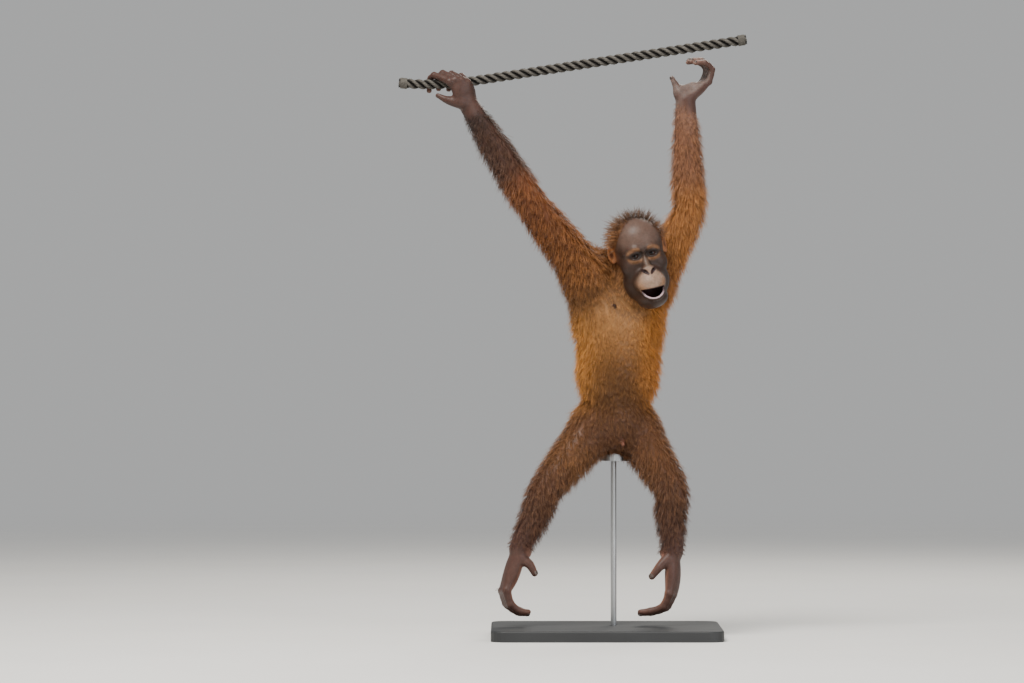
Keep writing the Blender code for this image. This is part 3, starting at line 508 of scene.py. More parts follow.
def left_fingers():
    """Index to little finger, stacked away from the viewer in a slack hook."""
    fingers = []
    for number, scale in enumerate((0.95, 1.0, 0.97, 0.86)):
        across = 1.5 - number
        knuckle = at(199.5 - 3.5 * across, 6 + 12.5 * across, 1110)
        middle = knuckle + scale * at(8, -4, 28)
        last = middle + scale * at(-19, -15, 15)
        fingers.append([knuckle, middle, last, last + scale * at(-21, -13, -2)])
    return fingers


def toes(side, joint, steps, spread):
    """Second to little toe: the second is the nearest to the viewer."""
    digits = []
    for number, scale in enumerate((0.95, 1.0, 0.97, 0.86)):
        across = 1.5 - number
        points = [joint + spread * across]
        for step in steps:
            points.append(points[-1] + scale * at(side * step[0], step[1], step[2]))
        digits.append(points)
    return digits


HAND_R = Grip(
    WRIST_R, at(-17, -22, 46), at(-45, 88, -5), True, 46, 25, 13.5, (7.4, 6.5, 5.9, 4.8),
    right_fingers(), [at(-288, -106, 1062), at(-306, -106, 1066), at(-320, -102, 1070), at(-335, -98, 1078)],
    (12, 10, 7, 4.4),
)
HAND_L = Grip(
    WRIST_L, at(40, 26, 34), at(-70, -30, 62), False, 52, 23, 13, (7.4, 6.4, 5.8, 4.8),
    left_fingers(), [at(149, -24, 1087), at(141, -26, 1098), at(131, -25, 1117)],
    (11, 8, 4.4),
)
FOOT_R = Grip(
    ANKLE_R, at(-26, -2, -84), at(90, 35, 0), True, 84, 23, 15.5, (8.8, 7.8, 7.0, 5.6),
    toes(1, at(-203, -24, 94), ((8, 3, -29), (21, 6, -15), (16, 4, -2)), at(3, -11, 1)),
    [at(-170, -30, 158), at(-153, -36, 147), at(-143, -36, 129)], (12, 9, 6.5),
)
FOOT_L = Grip(
    ANKLE_L, at(0, -2, -84), at(-93, 30, 0), False, 84, 23, 15, (8.8, 7.8, 7.0, 5.6),
    toes(-1, at(130, -4, 86), ((12, 3, -27), (27, 6, -10), (21, 4, -2)), at(-3, -11, 1)),
    [at(122, -14, 156), at(106, -22, 141), at(91, -24, 122)], (12, 9, 6.5),
)
GRIPS = {"hand_R": HAND_R, "hand_L": HAND_L, "foot_R": FOOT_R, "foot_L": FOOT_L}


def make_body():
    body = Body()
    add_trunk(body)
    add_arm(body, SHOULDER_R, ELBOW_R, WRIST_R, -1)
    add_arm(body, SHOULDER_L, ELBOW_L, WRIST_L, 1)
    add_leg(body, HIP_R, KNEE_R, ANKLE_R)
    add_leg(body, HIP_L, KNEE_L, ANKLE_L)
    for grip in GRIPS.values():
        add_grip(body, grip)
    for foot in (FOOT_R, FOOT_L):
        body.add(Limb([foot.place(2, 2, 0), foot.place(4, 14, 0)], (17, 13)), 8)
    body.add(Limb([at(147, -24, 1087), at(173, -12, 1097)], (13, 12)), 8)
    for add_part in (add_skull, add_muzzle, add_mouth, add_nostrils, add_eyes, add_ears):
        add_part(body)
    return body


def mesh_object(name, bm):
    mesh = bpy.data.meshes.new(name)
    bm.to_mesh(mesh)
    bm.free()
    obj = bpy.data.objects.new(name, mesh)
    bpy.context.scene.collection.objects.link(obj)
    return obj


def evaluated(obj):
    """Replaces an object's mesh by the one that its modifiers make."""
    graph = bpy.context.evaluated_depsgraph_get()
    mesh = bpy.data.meshes.new_from_object(obj.evaluated_get(graph))
    obj.modifiers.clear()
    obj.data = mesh
    return obj


def points_of(mesh, what="co"):
    """Each vertex's place, or its normal where that is asked for."""
    flat = np.empty(len(mesh.vertices) * 3)
    mesh.vertices.foreach_get(what, flat)
    return flat.reshape(-1, 3)


def moved_to(mesh, points):
    """Gives a mesh's vertices new places."""
    mesh.vertices.foreach_set("co", points.ravel())
    mesh.update()


def remeshed(obj, voxel):
    remesh = obj.modifiers.new("Remesh", "REMESH")
    remesh.mode, remesh.voxel_size = "VOXEL", voxel
    return evaluated(obj)


def cut(obj, cutter):
    """Takes one closed mesh away from another."""
    boolean = obj.modifiers.new("Boolean", "BOOLEAN")
    boolean.operation, boolean.solver, boolean.object = "DIFFERENCE", "MANIFOLD", cutter
    return evaluated(obj)


def skin_of(body, name, voxel):
    """One closed skin: the forms' own meshes remeshed as one, then drawn onto their smooth blend."""
    full, holes = bmesh.new(), bmesh.new()
    for form, _, added in body.steps:
        if added:
            form.add_to(full)
        elif isinstance(form, Bowl):
            form.add_to(holes)
    skin, mouth = mesh_object(name, full), mesh_object(name + "_mouth", holes)
    remeshed(skin, voxel)
    cut(skin, mouth)
    bpy.data.objects.remove(mouth)
    moved_to(skin.data, body.settle(points_of(skin.data))[0])
    remeshed(skin, voxel)
    moved_to(skin.data, body.settle(points_of(skin.data))[0])
    return skin


def head_local(points):
    return (points - HEAD_CENTRE) @ HEAD_TURN


def chest_at(points, low, high):
    """The thin coat on the front of the chest and belly, which ends between two heights."""
    front = (points - CHEST_MIDDLE) @ TRUNK_TURN
    chest = smooth(-front[:, 1], 20 * MM, 48 * MM) * (1.0 - smooth(np.abs(front[:, 0]), 40 * MM, 80 * MM))
    return chest * (smooth(points[:, 2], 0.40, 0.46) * (1.0 - smooth(points[:, 2], low, high)))


def hairiness(points):
    """How much of the coat's full depth stands at each point: none on the face, hands and feet."""
    share = np.ones(len(points))
    for grip in GRIPS.values():
        share *= smooth(gap(points, grip.place(grip.span * 0.55, 0, 0)), 58, 100)
    local = head_local(points)
    near = 1.0 - smooth(np.linalg.norm(local, axis=1), 108 * MM, 128 * MM)
    edge = 14 * MM + 0.35 * np.maximum(local[:, 2], 0.0) - 0.25 * np.minimum(local[:, 2], 0.0)
    bare = 1.0 - smooth(local[:, 1], edge, edge + 18 * MM)
    share *= 1.0 - near * bare
    return share * (1.0 - 0.65 * chest_at(points, 0.72, 0.76))


# The rope: its middle line, in millimetres
ROPE_STEP = 7.8
ROPE_ENDS = (-412.0, 276.0)


def rope_height(x):
    """The rope hangs a little slack: lowest beside the holding hand and rising to the left hand."""
    return 1107.0 + 0.152 * (x + 263.0) + 0.00085 * max(0.0, -263.0 - x) ** 2


def rope_points():
    start, end = ROPE_ENDS
    count = int((end - start) / ROPE_STEP)
    return [at(x, -90, rope_height(x)) for x in np.linspace(start, end, count + 1)]


def tube(name, points, radius):
    """A round wire along a line of points, with flat ends, made into a closed mesh."""
    curve = bpy.data.curves.new(name, "CURVE")
    curve.dimensions = "3D"
    curve.twist_mode = "Z_UP"
    curve.use_fill_caps = True
    curve.bevel_depth, curve.bevel_resolution = radius, 3
    spline = curve.splines.new("POLY")
    spline.points.add(len(points) - 1)
    for vertex, point in zip(spline.points, points):
        vertex.co = (*point, 1.0)
    obj = bpy.data.objects.new(name, curve)
    bpy.context.scene.collection.objects.link(obj)
    graph = bpy.context.evaluated_depsgraph_get()
    mesh = bpy.data.meshes.new_from_object(obj.evaluated_get(graph))
    bpy.data.objects.remove(obj)
    bm = bmesh.new()
    bm.from_mesh(mesh)
    bmesh.ops.remove_doubles(bm, verts=bm.verts, dist=1e-6)
    bmesh.ops.recalc_face_normals(bm, faces=bm.faces)
    bpy.data.meshes.remove(mesh)
    return mesh_object(name, bm)


# The settings that a user can change


def linear(code):
    """A colour as Blender keeps it, from its sRGB hex code."""
    values = [int(code[place : place + 2], 16) / 255.0 for place in (1, 3, 5)]
    return tuple(v / 12.92 if v <= 0.04045 else ((v + 0.055) / 1.055) ** 2.4 for v in values)


def colour(name, code, description):
    return FloatVectorProperty(
        name=name, description=description, subtype="COLOR", size=3, min=0.0, max=1.0, default=linear(code)
    )


def length(name, default, description):
    return FloatProperty(
        name=name, description=description, default=default, min=0.0, unit="LENGTH", precision=4
    )


class SkinSettings(bpy.types.PropertyGroup):
    voxel: length("Voxel", 0.0028, "Size of the skin's faces before the coat's part is thinned")
    forehead: colour("Forehead", "#544138", "Bald dome above the brows")
    cheek: colour("Cheek", "#30211A", "Sides of the face and the chin")
    brow: colour("Brow", "#8C6344", "Arcs above the eyes and pouches below them")
    muzzle: colour("Muzzle", "#806858", "Pale muzzle round the nose")
    lip: colour("Lip", "#B29A9E", "Inner edge of the lower lip")
    # Painted shade: the near black laid inside the open mouth and the nostrils.
    mouth: colour("Mouth", "#241010", "Inside of the mouth and the nostrils")
    ear: colour("Ear", "#8A5836", "Rim of the ears")
    hand: colour("Hand", "#4B342D", "Backs of the hands and feet")
    palm: colour("Palm", "#8A604F", "Palms and soles")


class CoatSettings(bpy.types.PropertyGroup):
    locks: IntProperty(name="Locks", description="Number of locks in the coat", default=9000, min=100)
    hairs: IntProperty(name="Hairs", description="Hairs in each lock", default=7, min=1)
    spread: length("Spread", 0.0056, "Radius of a lock where it grows")
    hair_width: length("Hair width", 0.00082, "Widest part of one hair")
    tip: colour("Tip", "#DA9B55", "Light that shows through the tips")


class RopeSettings(bpy.types.PropertyGroup):
    radius: length("Rope radius", 0.010, "Half the rope's thickness")
    lay: length("Lay", 0.052, "Length of one full turn of a strand")
    strands: IntProperty(name="Strands", description="Strands in the rope", default=3, min=2, max=8)
    fibre: colour("Fibre", "#5A5650", "Weathered outside of the strands")
    # Painted shade: the near black that the strands fade to down in the grooves between them.
    groove_shade: colour("Groove", "#161311", "Dirt between the strands")


class StageSettings(bpy.types.PropertyGroup):
    floor: colour("Floor", "#E4E2DE", "Pale studio floor")
    key_power: FloatProperty(
        name="Key light", description="Power of the large soft light", default=240.0, unit="POWER"
    )
    paint: colour("Paint", "#232425", "Paint of the stand's base")


SETTINGS = {
    "orangutan_skin": SkinSettings,
    "orangutan_coat": CoatSettings,
    "orangutan_rope": RopeSettings,
    "orangutan_stage": StageSettings,
}


# Markings, with painted light and shade in some rows: a place in millimetres, the hair's colour there, its
# length in millimetres and its cover
MARKINGS_AND_LIGHT = (
    # Painted shade: the right arm's rows are darker than the left arm's for the shade that this arm stands
    # in.
    ("arm_R", (-275, -92, 1062), "#382823", 15, 0.8),
    ("arm_R", (-213, -100, 965), "#4E342A", 24, 1.0),
    ("arm_R", (-152, -108, 868), "#7C4727", 28, 1.0),
    ("arm_R", (-96, -72, 800), "#824D28", 30, 1.0),
    ("arm_R", (-50, -60, 728), "#8C562B", 30, 1.0),
    # Painted light: the left arm's rows are lighter than the right arm's, pinkish on the forearm and pale
    # orange from the elbow up, for the light that falls on it.
    ("arm_L", (158, -22, 1075), "#936A55", 12, 0.7),
    ("arm_L", (162, 4, 964), "#8E5F45", 22, 0.9),
    ("arm_L", (167, 30, 853), "#B0733F", 28, 1.0),
    ("arm_L", (130, 45, 778), "#BB7A3D", 28, 1.0),
    ("arm_L", (94, 60, 712), "#AC6D36", 30, 1.0),
    # Painted shade: this dark row is the shadow in the right armpit.
    ("front", (-45, -40, 668), "#55351B", 22, 0.9),
    ("front", (24, -62, 662), "#BE8A58", 12, 0.5),
    ("front", (20, -66, 600), "#A8733F", 15, 0.7),
    ("front", (18, -62, 535), "#68421F", 18, 1.0),
    ("front", (16, -55, 470), "#66411F", 18, 1.0),
    # Painted light: the bright orange of both flanks is rim light from behind, laid into the hair's colour.
    ("front", (-62, -22, 610), "#D08B38", 32, 1.0),
    ("front", (-52, -12, 520), "#C98434", 30, 1.0),
    ("front", (104, -2, 610), "#C98235", 30, 1.0),
    ("front", (92, 4, 520), "#BC7731", 28, 1.0),
    ("back", (26, 64, 640), "#8F5527", 38, 1.0),
    ("back", (20, 62, 520), "#874F26", 36, 1.0),
    ("back", (14, 60, 430), "#7C4A2A", 32, 1.0),
    ("back", (30, 30, 745), "#935B2E", 34, 1.0),
    ("leg_R", (-10, -38, 420), "#6B4631", 16, 1.0),
    ("leg_R", (-72, -25, 360), "#7A5030", 26, 1.0),
    ("leg_R", (-120, -52, 300), "#684430", 24, 1.0),
    ("leg_R", (-148, -37, 238), "#5E4033", 22, 1.0),
    ("leg_R", (-173, -22, 178), "#5E3F38", 12, 0.6),
    ("leg_L", (46, -28, 418), "#694530", 16, 1.0),
    ("leg_L", (96, -3, 355), "#744B2F", 26, 1.0),
    ("leg_L", (130, -30, 296), "#66432F", 24, 1.0),
    ("leg_L", (132, -16, 234), "#604134", 22, 1.0),
    ("leg_L", (134, -2, 172), "#5E3F38", 12, 0.6),
    ("head", (62, 2, 812), "#3F2B1F", 26, 0.7),
    ("head", (10, -40, 745), "#7E5231", 20, 1.0),
    ("head", (116, -30, 750), "#774C2F", 20, 1.0),
)


# How far one marking runs into the next
BLEND_REACH = 34 * MM


def markings_and_light_at(points):
    """The hair's colour, length in metres, cover and nearest group at each point."""
    places = np.array([row[1] for row in MARKINGS_AND_LIGHT]) * MM
    values = np.array([(*linear(row[2]), row[3] * MM, row[4]) for row in MARKINGS_AND_LIGHT])
    apart = ((points[:, None, :] - places[None]) ** 2).sum(axis=2)
    weight = np.exp(-(apart - apart.min(axis=1)[:, None]) / (2 * BLEND_REACH**2))
    mixed = weight @ values / weight.sum(axis=1)[:, None]
    return mixed[:, :3], mixed[:, 3], mixed[:, 4], apart.argmin(axis=1)


def growth(points):
    """How thickly hair grows at each point: none on the face, ears, palms, soles and digits."""
    share = np.ones(len(points))
    for grip in GRIPS.values():
        share *= smooth(gap(points, grip.place(grip.span * 0.55, 0, 0)), 30, 90)
        for digit in (*grip.digits, grip.thumb):
            for joint in digit[1:]:
                share *= smooth(gap(points, joint), 20, 38)
    for side in (-1, 1):
        share *= smooth(gap(points, mirrored(side, *EAR_PLACE)), 14, 19)
    x, y, z = head_local(points).T / MM
    edge = 5.0 + 0.1 * np.maximum(z, 0.0) + np.maximum(0.45 * np.minimum(z, 0.0), -24.0)
    oval = 1.0 - smooth(np.hypot(x / 58.0, (z + 24.0) / 102.0), 0.88, 1.0)
    share *= 1.0 - oval * (1.0 - smooth(y, edge, edge + 11.0))
    share *= smooth(gap(points, NUB), 6, 15)
    for side in (-1, 1):
        share *= 0.2 + 0.8 * smooth(gap(points, teat_place(side)), 4, 8)
    return share * (1.0 - 0.5 * chest_at(points, 0.70, 0.74))


# The colours of the bare hide


def mix(base, tone, share):
    """Lays a tone over a base by a share for each point."""
    return base + (np.asarray(tone)[None] - base) * np.clip(share, 0.0, 1.0)[:, None]


def bump_at(value, middle, width):
    """One at the middle, and falling away on both sides of it."""
    return np.exp(-(((value - middle) / width) ** 2))


def face_tones(tone, points, outs, grown, settings):
    """Dark cheeks, a grey-brown dome, tan arcs round the eyes, a pale muzzle and a pale lower lip, with
    painted shade in the eye sockets, the open mouth and the nostrils.
    """
    local = head_local(points) / MM
    x, y, z = np.abs(local[:, 0]), local[:, 1], local[:, 2]
    head = 1.0 - smooth(np.linalg.norm(local - (0, -20, -25), axis=1), 104, 116)
    face = head * (1.0 - smooth(grown, 0.1, 0.8)) * (1.0 - smooth(y, 20, 34))
    tone = mix(tone, settings.cheek, face)
    tone = mix(tone, settings.forehead, face * smooth(z, 10, 30) * (1.0 - 0.45 * smooth(x, 30, 48)))
    temple = face * bump_at(z, 2, 26) * smooth(x, 30, 44) * smooth(y, -32, -5)
    tone = mix(tone, linear("#5E4030"), 0.8 * temple)
    front = face * (1.0 - smooth(y, -34, -22))
    arc = bump_at(z - 13.5 + 0.022 * (x - 16) ** 2, 0, 3.8) * smooth(x, 5, 11) * (1.0 - smooth(x, 30, 38))
    tone = mix(tone, settings.brow, 0.62 * arc * front)
    pouch = bump_at(z + 10.5 - 0.026 * (x - 18) ** 2, 0, 3.6) * smooth(x, 3, 9) * (1.0 - smooth(x, 29, 37))
    tone = mix(tone, settings.brow, 0.66 * pouch * front)
    # Painted shade: a near-black ring round each eye opening stands for the shadow in the deep sockets.
    lids = (1.0 - smooth(np.hypot((x - 15.5) / 1.75, z - 0.5), 6.0, 10.5)) * front
    tone = mix(tone, linear("#1C1310"), 0.9 * lids)
    reach = np.hypot(x / (16.5 + 12.5 * smooth(-z, 20, 54)), (z + 50) / 29.0)
    muzzle = (1.0 - smooth(reach, 0.76, 1.16)) * face * (1.0 - smooth(y, -48, -38))
    tone = mix(tone, settings.muzzle, muzzle)
    warm = muzzle * smooth(reach, 0.5, 0.95) * (1.0 - smooth(z, -62, -40))
    tone = mix(tone, linear("#8A6140"), 0.8 * warm)
    bridge = bump_at(x, 0, 6) * bump_at(z, -12, 12) * front
    tone = mix(tone, linear("#6E5A4C"), 0.5 * bridge)
    # Painted shade: the open mouth and the nostrils are laid near black for the shadow inside them.
    for form, near, far in shared["dark"]:
        tone = mix(tone, settings.mouth, (1.0 - smooth(form.distance(points) / MM, near, far)) * face)
    lip = (1.0 - smooth(shared["lip"].distance(points) / MM, 0.5, 1.5)) * (1.0 - 0.7 * smooth(x, 15, 22))
    return mix(tone, settings.lip, lip * smooth((outs @ HEAD_TURN)[:, 2], 0.15, 0.75))


def trunk_tones(tone, points):
    """Dark teats and a warm brown nub under the belly."""
    for side in (-1, 1):
        tone = mix(tone, linear("#2E1A14"), 0.9 * (1.0 - smooth(gap(points, teat_place(side)), 3.0, 6.5)))
    return mix(tone, linear("#74493A"), 0.7 * (1.0 - smooth(gap(points, NUB), 7, 13)))


def ear_tones(tone, points, settings):
    """Tan ears, with painted shade in the cup."""
    across = head_local(points)[:, 0] / MM
    x, y, z = EAR_PLACE
    for side in (-1, 1):
        near = 1.0 - smooth(gap(points, mirrored(side, x, y, z)), 17, 21)
        ear = near * smooth(side * across, 46, 50)
        tone = mix(tone, settings.ear, ear)
        # Painted shade: the ear's cup is darkened for the shadow in its hollow.
        cup = gap(points, mirrored(side, x + 1, y - 3, z))
        tone = mix(tone, linear("#3A2018"), 0.85 * ear * (1.0 - smooth(cup, 5, 11)))
    return tone


# How dark each hand and foot is beside the settings, where the right hand's and palm's darkening is painted
# shade like that of the right arm, and the left palm's own greyer colour
HAND_SHADE = {"hand_R": 0.72}
PALM_SHADE = {"hand_R": 0.7}
GREY_PALM = "#81716A"


def grip_tones(tone, points, outs, grown, settings):
    """Dark backs of the hands and feet, with paler palms, soles and tips."""
    for name, grip in GRIPS.items():
        near = 1.0 - smooth(gap(points, grip.place(grip.span * 0.7, 0, 0)), 78, 104)
        near *= 1.0 - smooth(grown, 0.05, 0.6)
        tone = mix(tone, np.array(settings.hand) * HAND_SHADE.get(name, 1.0), near)
        palm = np.array(linear(GREY_PALM) if name == "hand_L" else settings.palm) * PALM_SHADE.get(name, 1.0)
        tone = mix(tone, palm, 0.75 * near * smooth(outs @ grip.palm, 0.05, 0.75))
        tips = np.zeros(len(points))
        for digit in grip.digits:
            tips = np.maximum(tips, bump_at(gap(points, digit[-1]), 0, 16))
        tone = mix(tone, np.array(settings.palm) * 0.8, 0.35 * near * tips)
    return tone


def skin_tones(points, outs, settings):
    """The colour of the bare hide at each point of the skin, and under the coat a darker copy of the coat's
    markings, their painted light and shade included.
    """
    grown = growth(points)
    tone = markings_and_light_at(points)[0] * 0.62
    tone = face_tones(tone, points, outs, grown, settings)
    tone = trunk_tones(tone, points)
    tone = ear_tones(tone, points, settings)
    tone = grip_tones(tone, points, outs, grown, settings)
    return np.clip(tone, 0.0, 1.0)


# Materials


def add_node(tree, kind, inputs=None, stops=(), **settings):
    """Adds one node, sets it up, and fills its inputs with values or with the outputs of other nodes."""
    made = tree.nodes.new(kind)
    for key, value in settings.items():
        setattr(made, key, value)
    for key, value in (inputs or {}).items():
        if isinstance(value, bpy.types.NodeSocket):
            tree.links.new(value, made.inputs[key])
        else:
            made.inputs[key].default_value = value
    if stops:
        bar = made.color_ramp
        while len(bar.elements) < len(stops):
            bar.elements.new(0.5)
        for element, (place, tone) in zip(bar.elements, stops):
            element.position, element.color = place, (*tone, 1.0)
    return made


def new_material(name, **constants):
    """A material with one Principled shader, its constant sockets set by name, and the piece's own places."""
    material = bpy.data.materials.new(name)
    material.use_nodes = True
    tree = material.node_tree
    shader = tree.nodes["Principled BSDF"]
    for key, value in constants.items():
        shader.inputs[key.replace("_", " ")].default_value = value
    return material, tree, shader, add_node(tree, "ShaderNodeTexCoord").outputs["Object"]


def grains(tree, place, *rows):
    """Cloudy patterns, each with its grain's size in metres, its detail and its roughness."""
    made = []
    for size, detail, rough in rows:
        fill = {"Vector": place, "Scale": 1.0 / size, "Detail": detail, "Roughness": rough}
        made.append(add_node(tree, "ShaderNodeTexNoise", fill).outputs["Fac"])
    return made


def shaded(tree, tone, pattern, dark, light, share=1.0):
    """A tone shaded by a pattern, between two stops that are each a place and a grey level."""
    greys = [(place, (level,) * 3) for place, level in (dark, light)]
    grey = add_node(tree, "ShaderNodeValToRGB", {"Fac": pattern}, greys).outputs["Color"]
    fill = {0: share, 6: tone, 7: grey}
    return add_node(tree, "ShaderNodeMix", fill, data_type="RGBA", blend_type="MULTIPLY").outputs[2]


def surfaced(tree, shader, tone, pattern, glossiest, roughest):
    """Gives a shader its colour, and a roughness that a pattern moves between two values."""
    fill = {"Value": pattern, "To Min": glossiest, "To Max": roughest}
    rough = add_node(tree, "ShaderNodeMapRange", fill).outputs["Result"]
    tree.links.new(tone, shader.inputs["Base Color"])
    tree.links.new(rough, shader.inputs["Roughness"])


def raised(tree, shader, *layers):
    """Raises a shader's surface by layers of height, each with its depth in metres and its strength."""
    normal = {}
    for height, depth, strength in layers:
        fill = {"Height": height, "Distance": depth, "Strength": strength, **normal}
        normal = {"Normal": add_node(tree, "ShaderNodeBump", fill).outputs["Normal"]}
    tree.links.new(normal["Normal"], shader.inputs["Normal"])


def ape_hide():
    """Bare hide of a young ape: matt and leathery, mottled, with fine creases and a faint oily sheen."""
    material, tree, shader, place = new_material(
        "ape hide", IOR=1.4, Specular_IOR_Level=0.32, Subsurface_Weight=0.06, Subsurface_Scale=0.004
    )
    hue = add_node(tree, "ShaderNodeAttribute", attribute_name="hue").outputs["Color"]
    mottle, spots = grains(tree, place, (9 * MM, 4.0, 0.6), (2.2 * MM, 2.0, 0.6))
    tone = shaded(tree, hue, mottle, (0.25, 0.84), (0.75, 1.14))
    tone = shaded(tree, tone, spots, (0.33, 0.76), (0.62, 1.12), 0.9)
    surfaced(tree, shader, tone, mottle, 0.36, 0.58)
    # Crease cells of about 2.4 mm, drawn a little coarser than the real ones so that they show
    cells = add_node(
        tree, "ShaderNodeTexVoronoi", {"Vector": place, "Scale": 1.0 / (2.4 * MM)}, feature="DISTANCE_TO_EDGE"
    ).outputs["Distance"]
    raised(tree, shader, (cells, 0.25 * MM, 0.35), (spots, 0.5 * MM, 0.4))
    return material


def ape_hair():
    """Long guard hair: smooth keratin strands, red-brown with lighter tips and a soft shine."""
    material, tree, shader, place = new_material("orangutan hair", IOR=1.5, Specular_IOR_Level=0.35)
    hue = add_node(tree, "ShaderNodeAttribute", attribute_name="hue").outputs["Color"]
    (patch,) = grains(tree, place, (14 * MM, 3.0, 0.6))
    surfaced(tree, shader, shaded(tree, hue, patch, (0.3, 0.8), (0.7, 1.16)), patch, 0.42, 0.6)
    return material


def wet_eye():
    """A living eye: a black pupil in a deep brown iris and a dark sclera, under a wet clear layer."""
    material, tree, shader, place = new_material(
        "wet eye", IOR=1.376, Roughness=0.3, Specular_IOR_Level=0.1, Coat_Weight=0.3, Coat_Roughness=0.03
    )
    ring = add_node(tree, "ShaderNodeAttribute", attribute_name="ring").outputs["Fac"]
    stops = (
        (0.0, "#040202"), (0.13, "#060303"), (0.17, "#23110A"), (0.36, "#2E180C"), (0.42, "#140A06"),
        (0.5, "#2A1D18"), (1.0, "#3F2E27"),
    )
    stops = [(share, linear(code)) for share, code in stops]
    tone = add_node(tree, "ShaderNodeValToRGB", {"Fac": ring}, stops).outputs["Color"]
    # Fibres of the iris, about 0.4 mm apart
    (fibres,) = grains(tree, place, (0.8 * MM, 3.0, 0.6))
    tree.links.new(shaded(tree, tone, fibres, (0.3, 0.6), (0.7, 1.3), 0.8), shader.inputs["Base Color"])
    return material


def nail_keratin():
    """Nail: hard dark keratin, smooth with faint ridges and a low polish."""
    material, tree, shader, place = new_material(
        "nail keratin", IOR=1.54, Coat_Weight=0.25, Coat_Roughness=0.25
    )
    cloud, ridges = grains(tree, place, (3 * MM, 2.0, 0.5), (0.6 * MM, 1.0, 0.5))
    stops = ((0.3, linear("#2A1F1B")), (0.7, linear("#54443B")))
    tone = add_node(tree, "ShaderNodeValToRGB", {"Fac": cloud}, stops).outputs["Color"]
    surfaced(tree, shader, tone, cloud, 0.3, 0.45)
    raised(tree, shader, (ridges, 0.1 * MM, 0.3))
    return material


YARNS = 7.0
YARN_LAY = 30 * MM


def laid_fibre(settings):
    """Weathered laid rope: dull bundled yarns, greyed outside, with painted shade down in the grooves."""
    material, tree, shader, place = new_material("weathered rope fibre", IOR=1.5, Specular_IOR_Level=0.2)
    run, turn, outer = (
        add_node(tree, "ShaderNodeAttribute", attribute_name=name).outputs["Fac"]
        for name in ("run", "turn", "outer")
    )
    # The yarns wind round their strand once in each yarn lay
    wave = None
    for value, rate in ((turn, YARNS * 2 * math.pi), (run, 2 * math.pi * YARNS / YARN_LAY)):
        phase = add_node(tree, "ShaderNodeMath", {0: value, 1: rate}, operation="MULTIPLY").outputs[0]
        wave = phase if wave is None else add_node(tree, "ShaderNodeMath", {0: wave, 1: phase}).outputs[0]
    wave = add_node(tree, "ShaderNodeMath", {0: wave}, operation="SINE").outputs[0]
    yarn = add_node(
        tree, "ShaderNodeMapRange", {"Value": wave, "From Min": -1.0, "From Max": 1.0}
    ).outputs["Result"]
    dirt, fluff = grains(tree, place, (7 * MM, 4.0, 0.65), (0.9 * MM, 3.0, 0.7))
    # Painted shade: towards the grooves between the strands the fibre colour fades to near black.
    fill = {0: outer, 6: (*settings.groove_shade, 1.0), 7: (*settings.fibre, 1.0)}
    tone = add_node(tree, "ShaderNodeMix", fill, data_type="RGBA").outputs[2]
    tone = shaded(tree, tone, dirt, (0.3, 0.62), (0.7, 1.15))
    # Painted shade: the colour darkens between the yarns, by the same wave that raises them.
    tone = shaded(tree, tone, yarn, (0.0, 0.55), (0.55, 1.05), 0.8)
    surfaced(tree, shader, tone, dirt, 0.8, 0.95)
    raised(tree, shader, (fluff, 0.4 * MM, 0.6), (yarn, 0.5 * MM, 0.7))
    return material


def board_paint(settings):
    """Roller-painted board: even matt dark grey with the fine stipple of the roller and faint clouding."""
    material, tree, shader, place = new_material("roller-painted board", IOR=1.5)
    stipple, cloud = grains(tree, place, (1.6 * MM, 3.0, 0.6), (60 * MM, 3.0, 0.5))
    stops = ((0.3, tuple(settings.paint)), (0.7, tuple(min(1.0, 1.35 * value) for value in settings.paint)))
    tone = add_node(tree, "ShaderNodeValToRGB", {"Fac": cloud}, stops).outputs["Color"]
    surfaced(tree, shader, tone, cloud, 0.5, 0.66)
    raised(tree, shader, (stipple, 0.15 * MM, 0.5))
    return material


def satin_steel():
    """Drawn steel, satin finished: soft wide reflections with hair-fine lines that run up the bar."""
    material, tree, shader, place = new_material("satin steel", Metallic=1.0, Anisotropic=0.4)
    # The lines are 0.8 mm apart and 80 mm long
    drawn = add_node(
        tree, "ShaderNodeMapping", {"Vector": place, "Scale": (1.0, 1.0, 0.01)}
    ).outputs["Vector"]
    (lines,) = grains(tree, drawn, (0.8 * MM, 2.0, 0.5))
    stops = ((0.2, linear("#9B9D9F")), (0.8, linear("#C4C6C7")))
    tone = add_node(tree, "ShaderNodeValToRGB", {"Fac": lines}, stops).outputs["Color"]
    surfaced(tree, shader, tone, lines, 0.28, 0.42)
    raised(tree, shader, (lines, 0.05 * MM, 0.4))
    return material


def studio_floor(settings):
    """Matt pale studio floor that fades into the air far from the model."""
    material, tree, shader, place = new_material("studio floor", Roughness=0.9, Specular_IOR_Level=0.1)
    (grain,) = grains(tree, place, (0.35, 3.0, 0.5))
    stops = ((0.3, tuple(0.97 * value for value in settings.floor)), (0.7, tuple(settings.floor)))
    tone = add_node(tree, "ShaderNodeValToRGB", {"Fac": grain}, stops).outputs["Color"]
    tree.links.new(tone, shader.inputs["Base Color"])
    far = add_node(tree, "ShaderNodeVectorMath", {0: place}, operation="LENGTH").outputs["Value"]
    fade = add_node(
        tree, "ShaderNodeMapRange", {"Value": far, "From Min": 2.0, "From Max": 7.0},
        interpolation_type="SMOOTHSTEP",
    ).outputs["Result"]
    clear = add_node(tree, "ShaderNodeBsdfTransparent").outputs["BSDF"]
    joined_up = add_node(tree, "ShaderNodeMixShader", {0: fade, 1: shader.outputs["BSDF"], 2: clear})
    tree.links.new(joined_up.outputs["Shader"], tree.nodes["Material Output"].inputs["Surface"])
    return material


# The skin


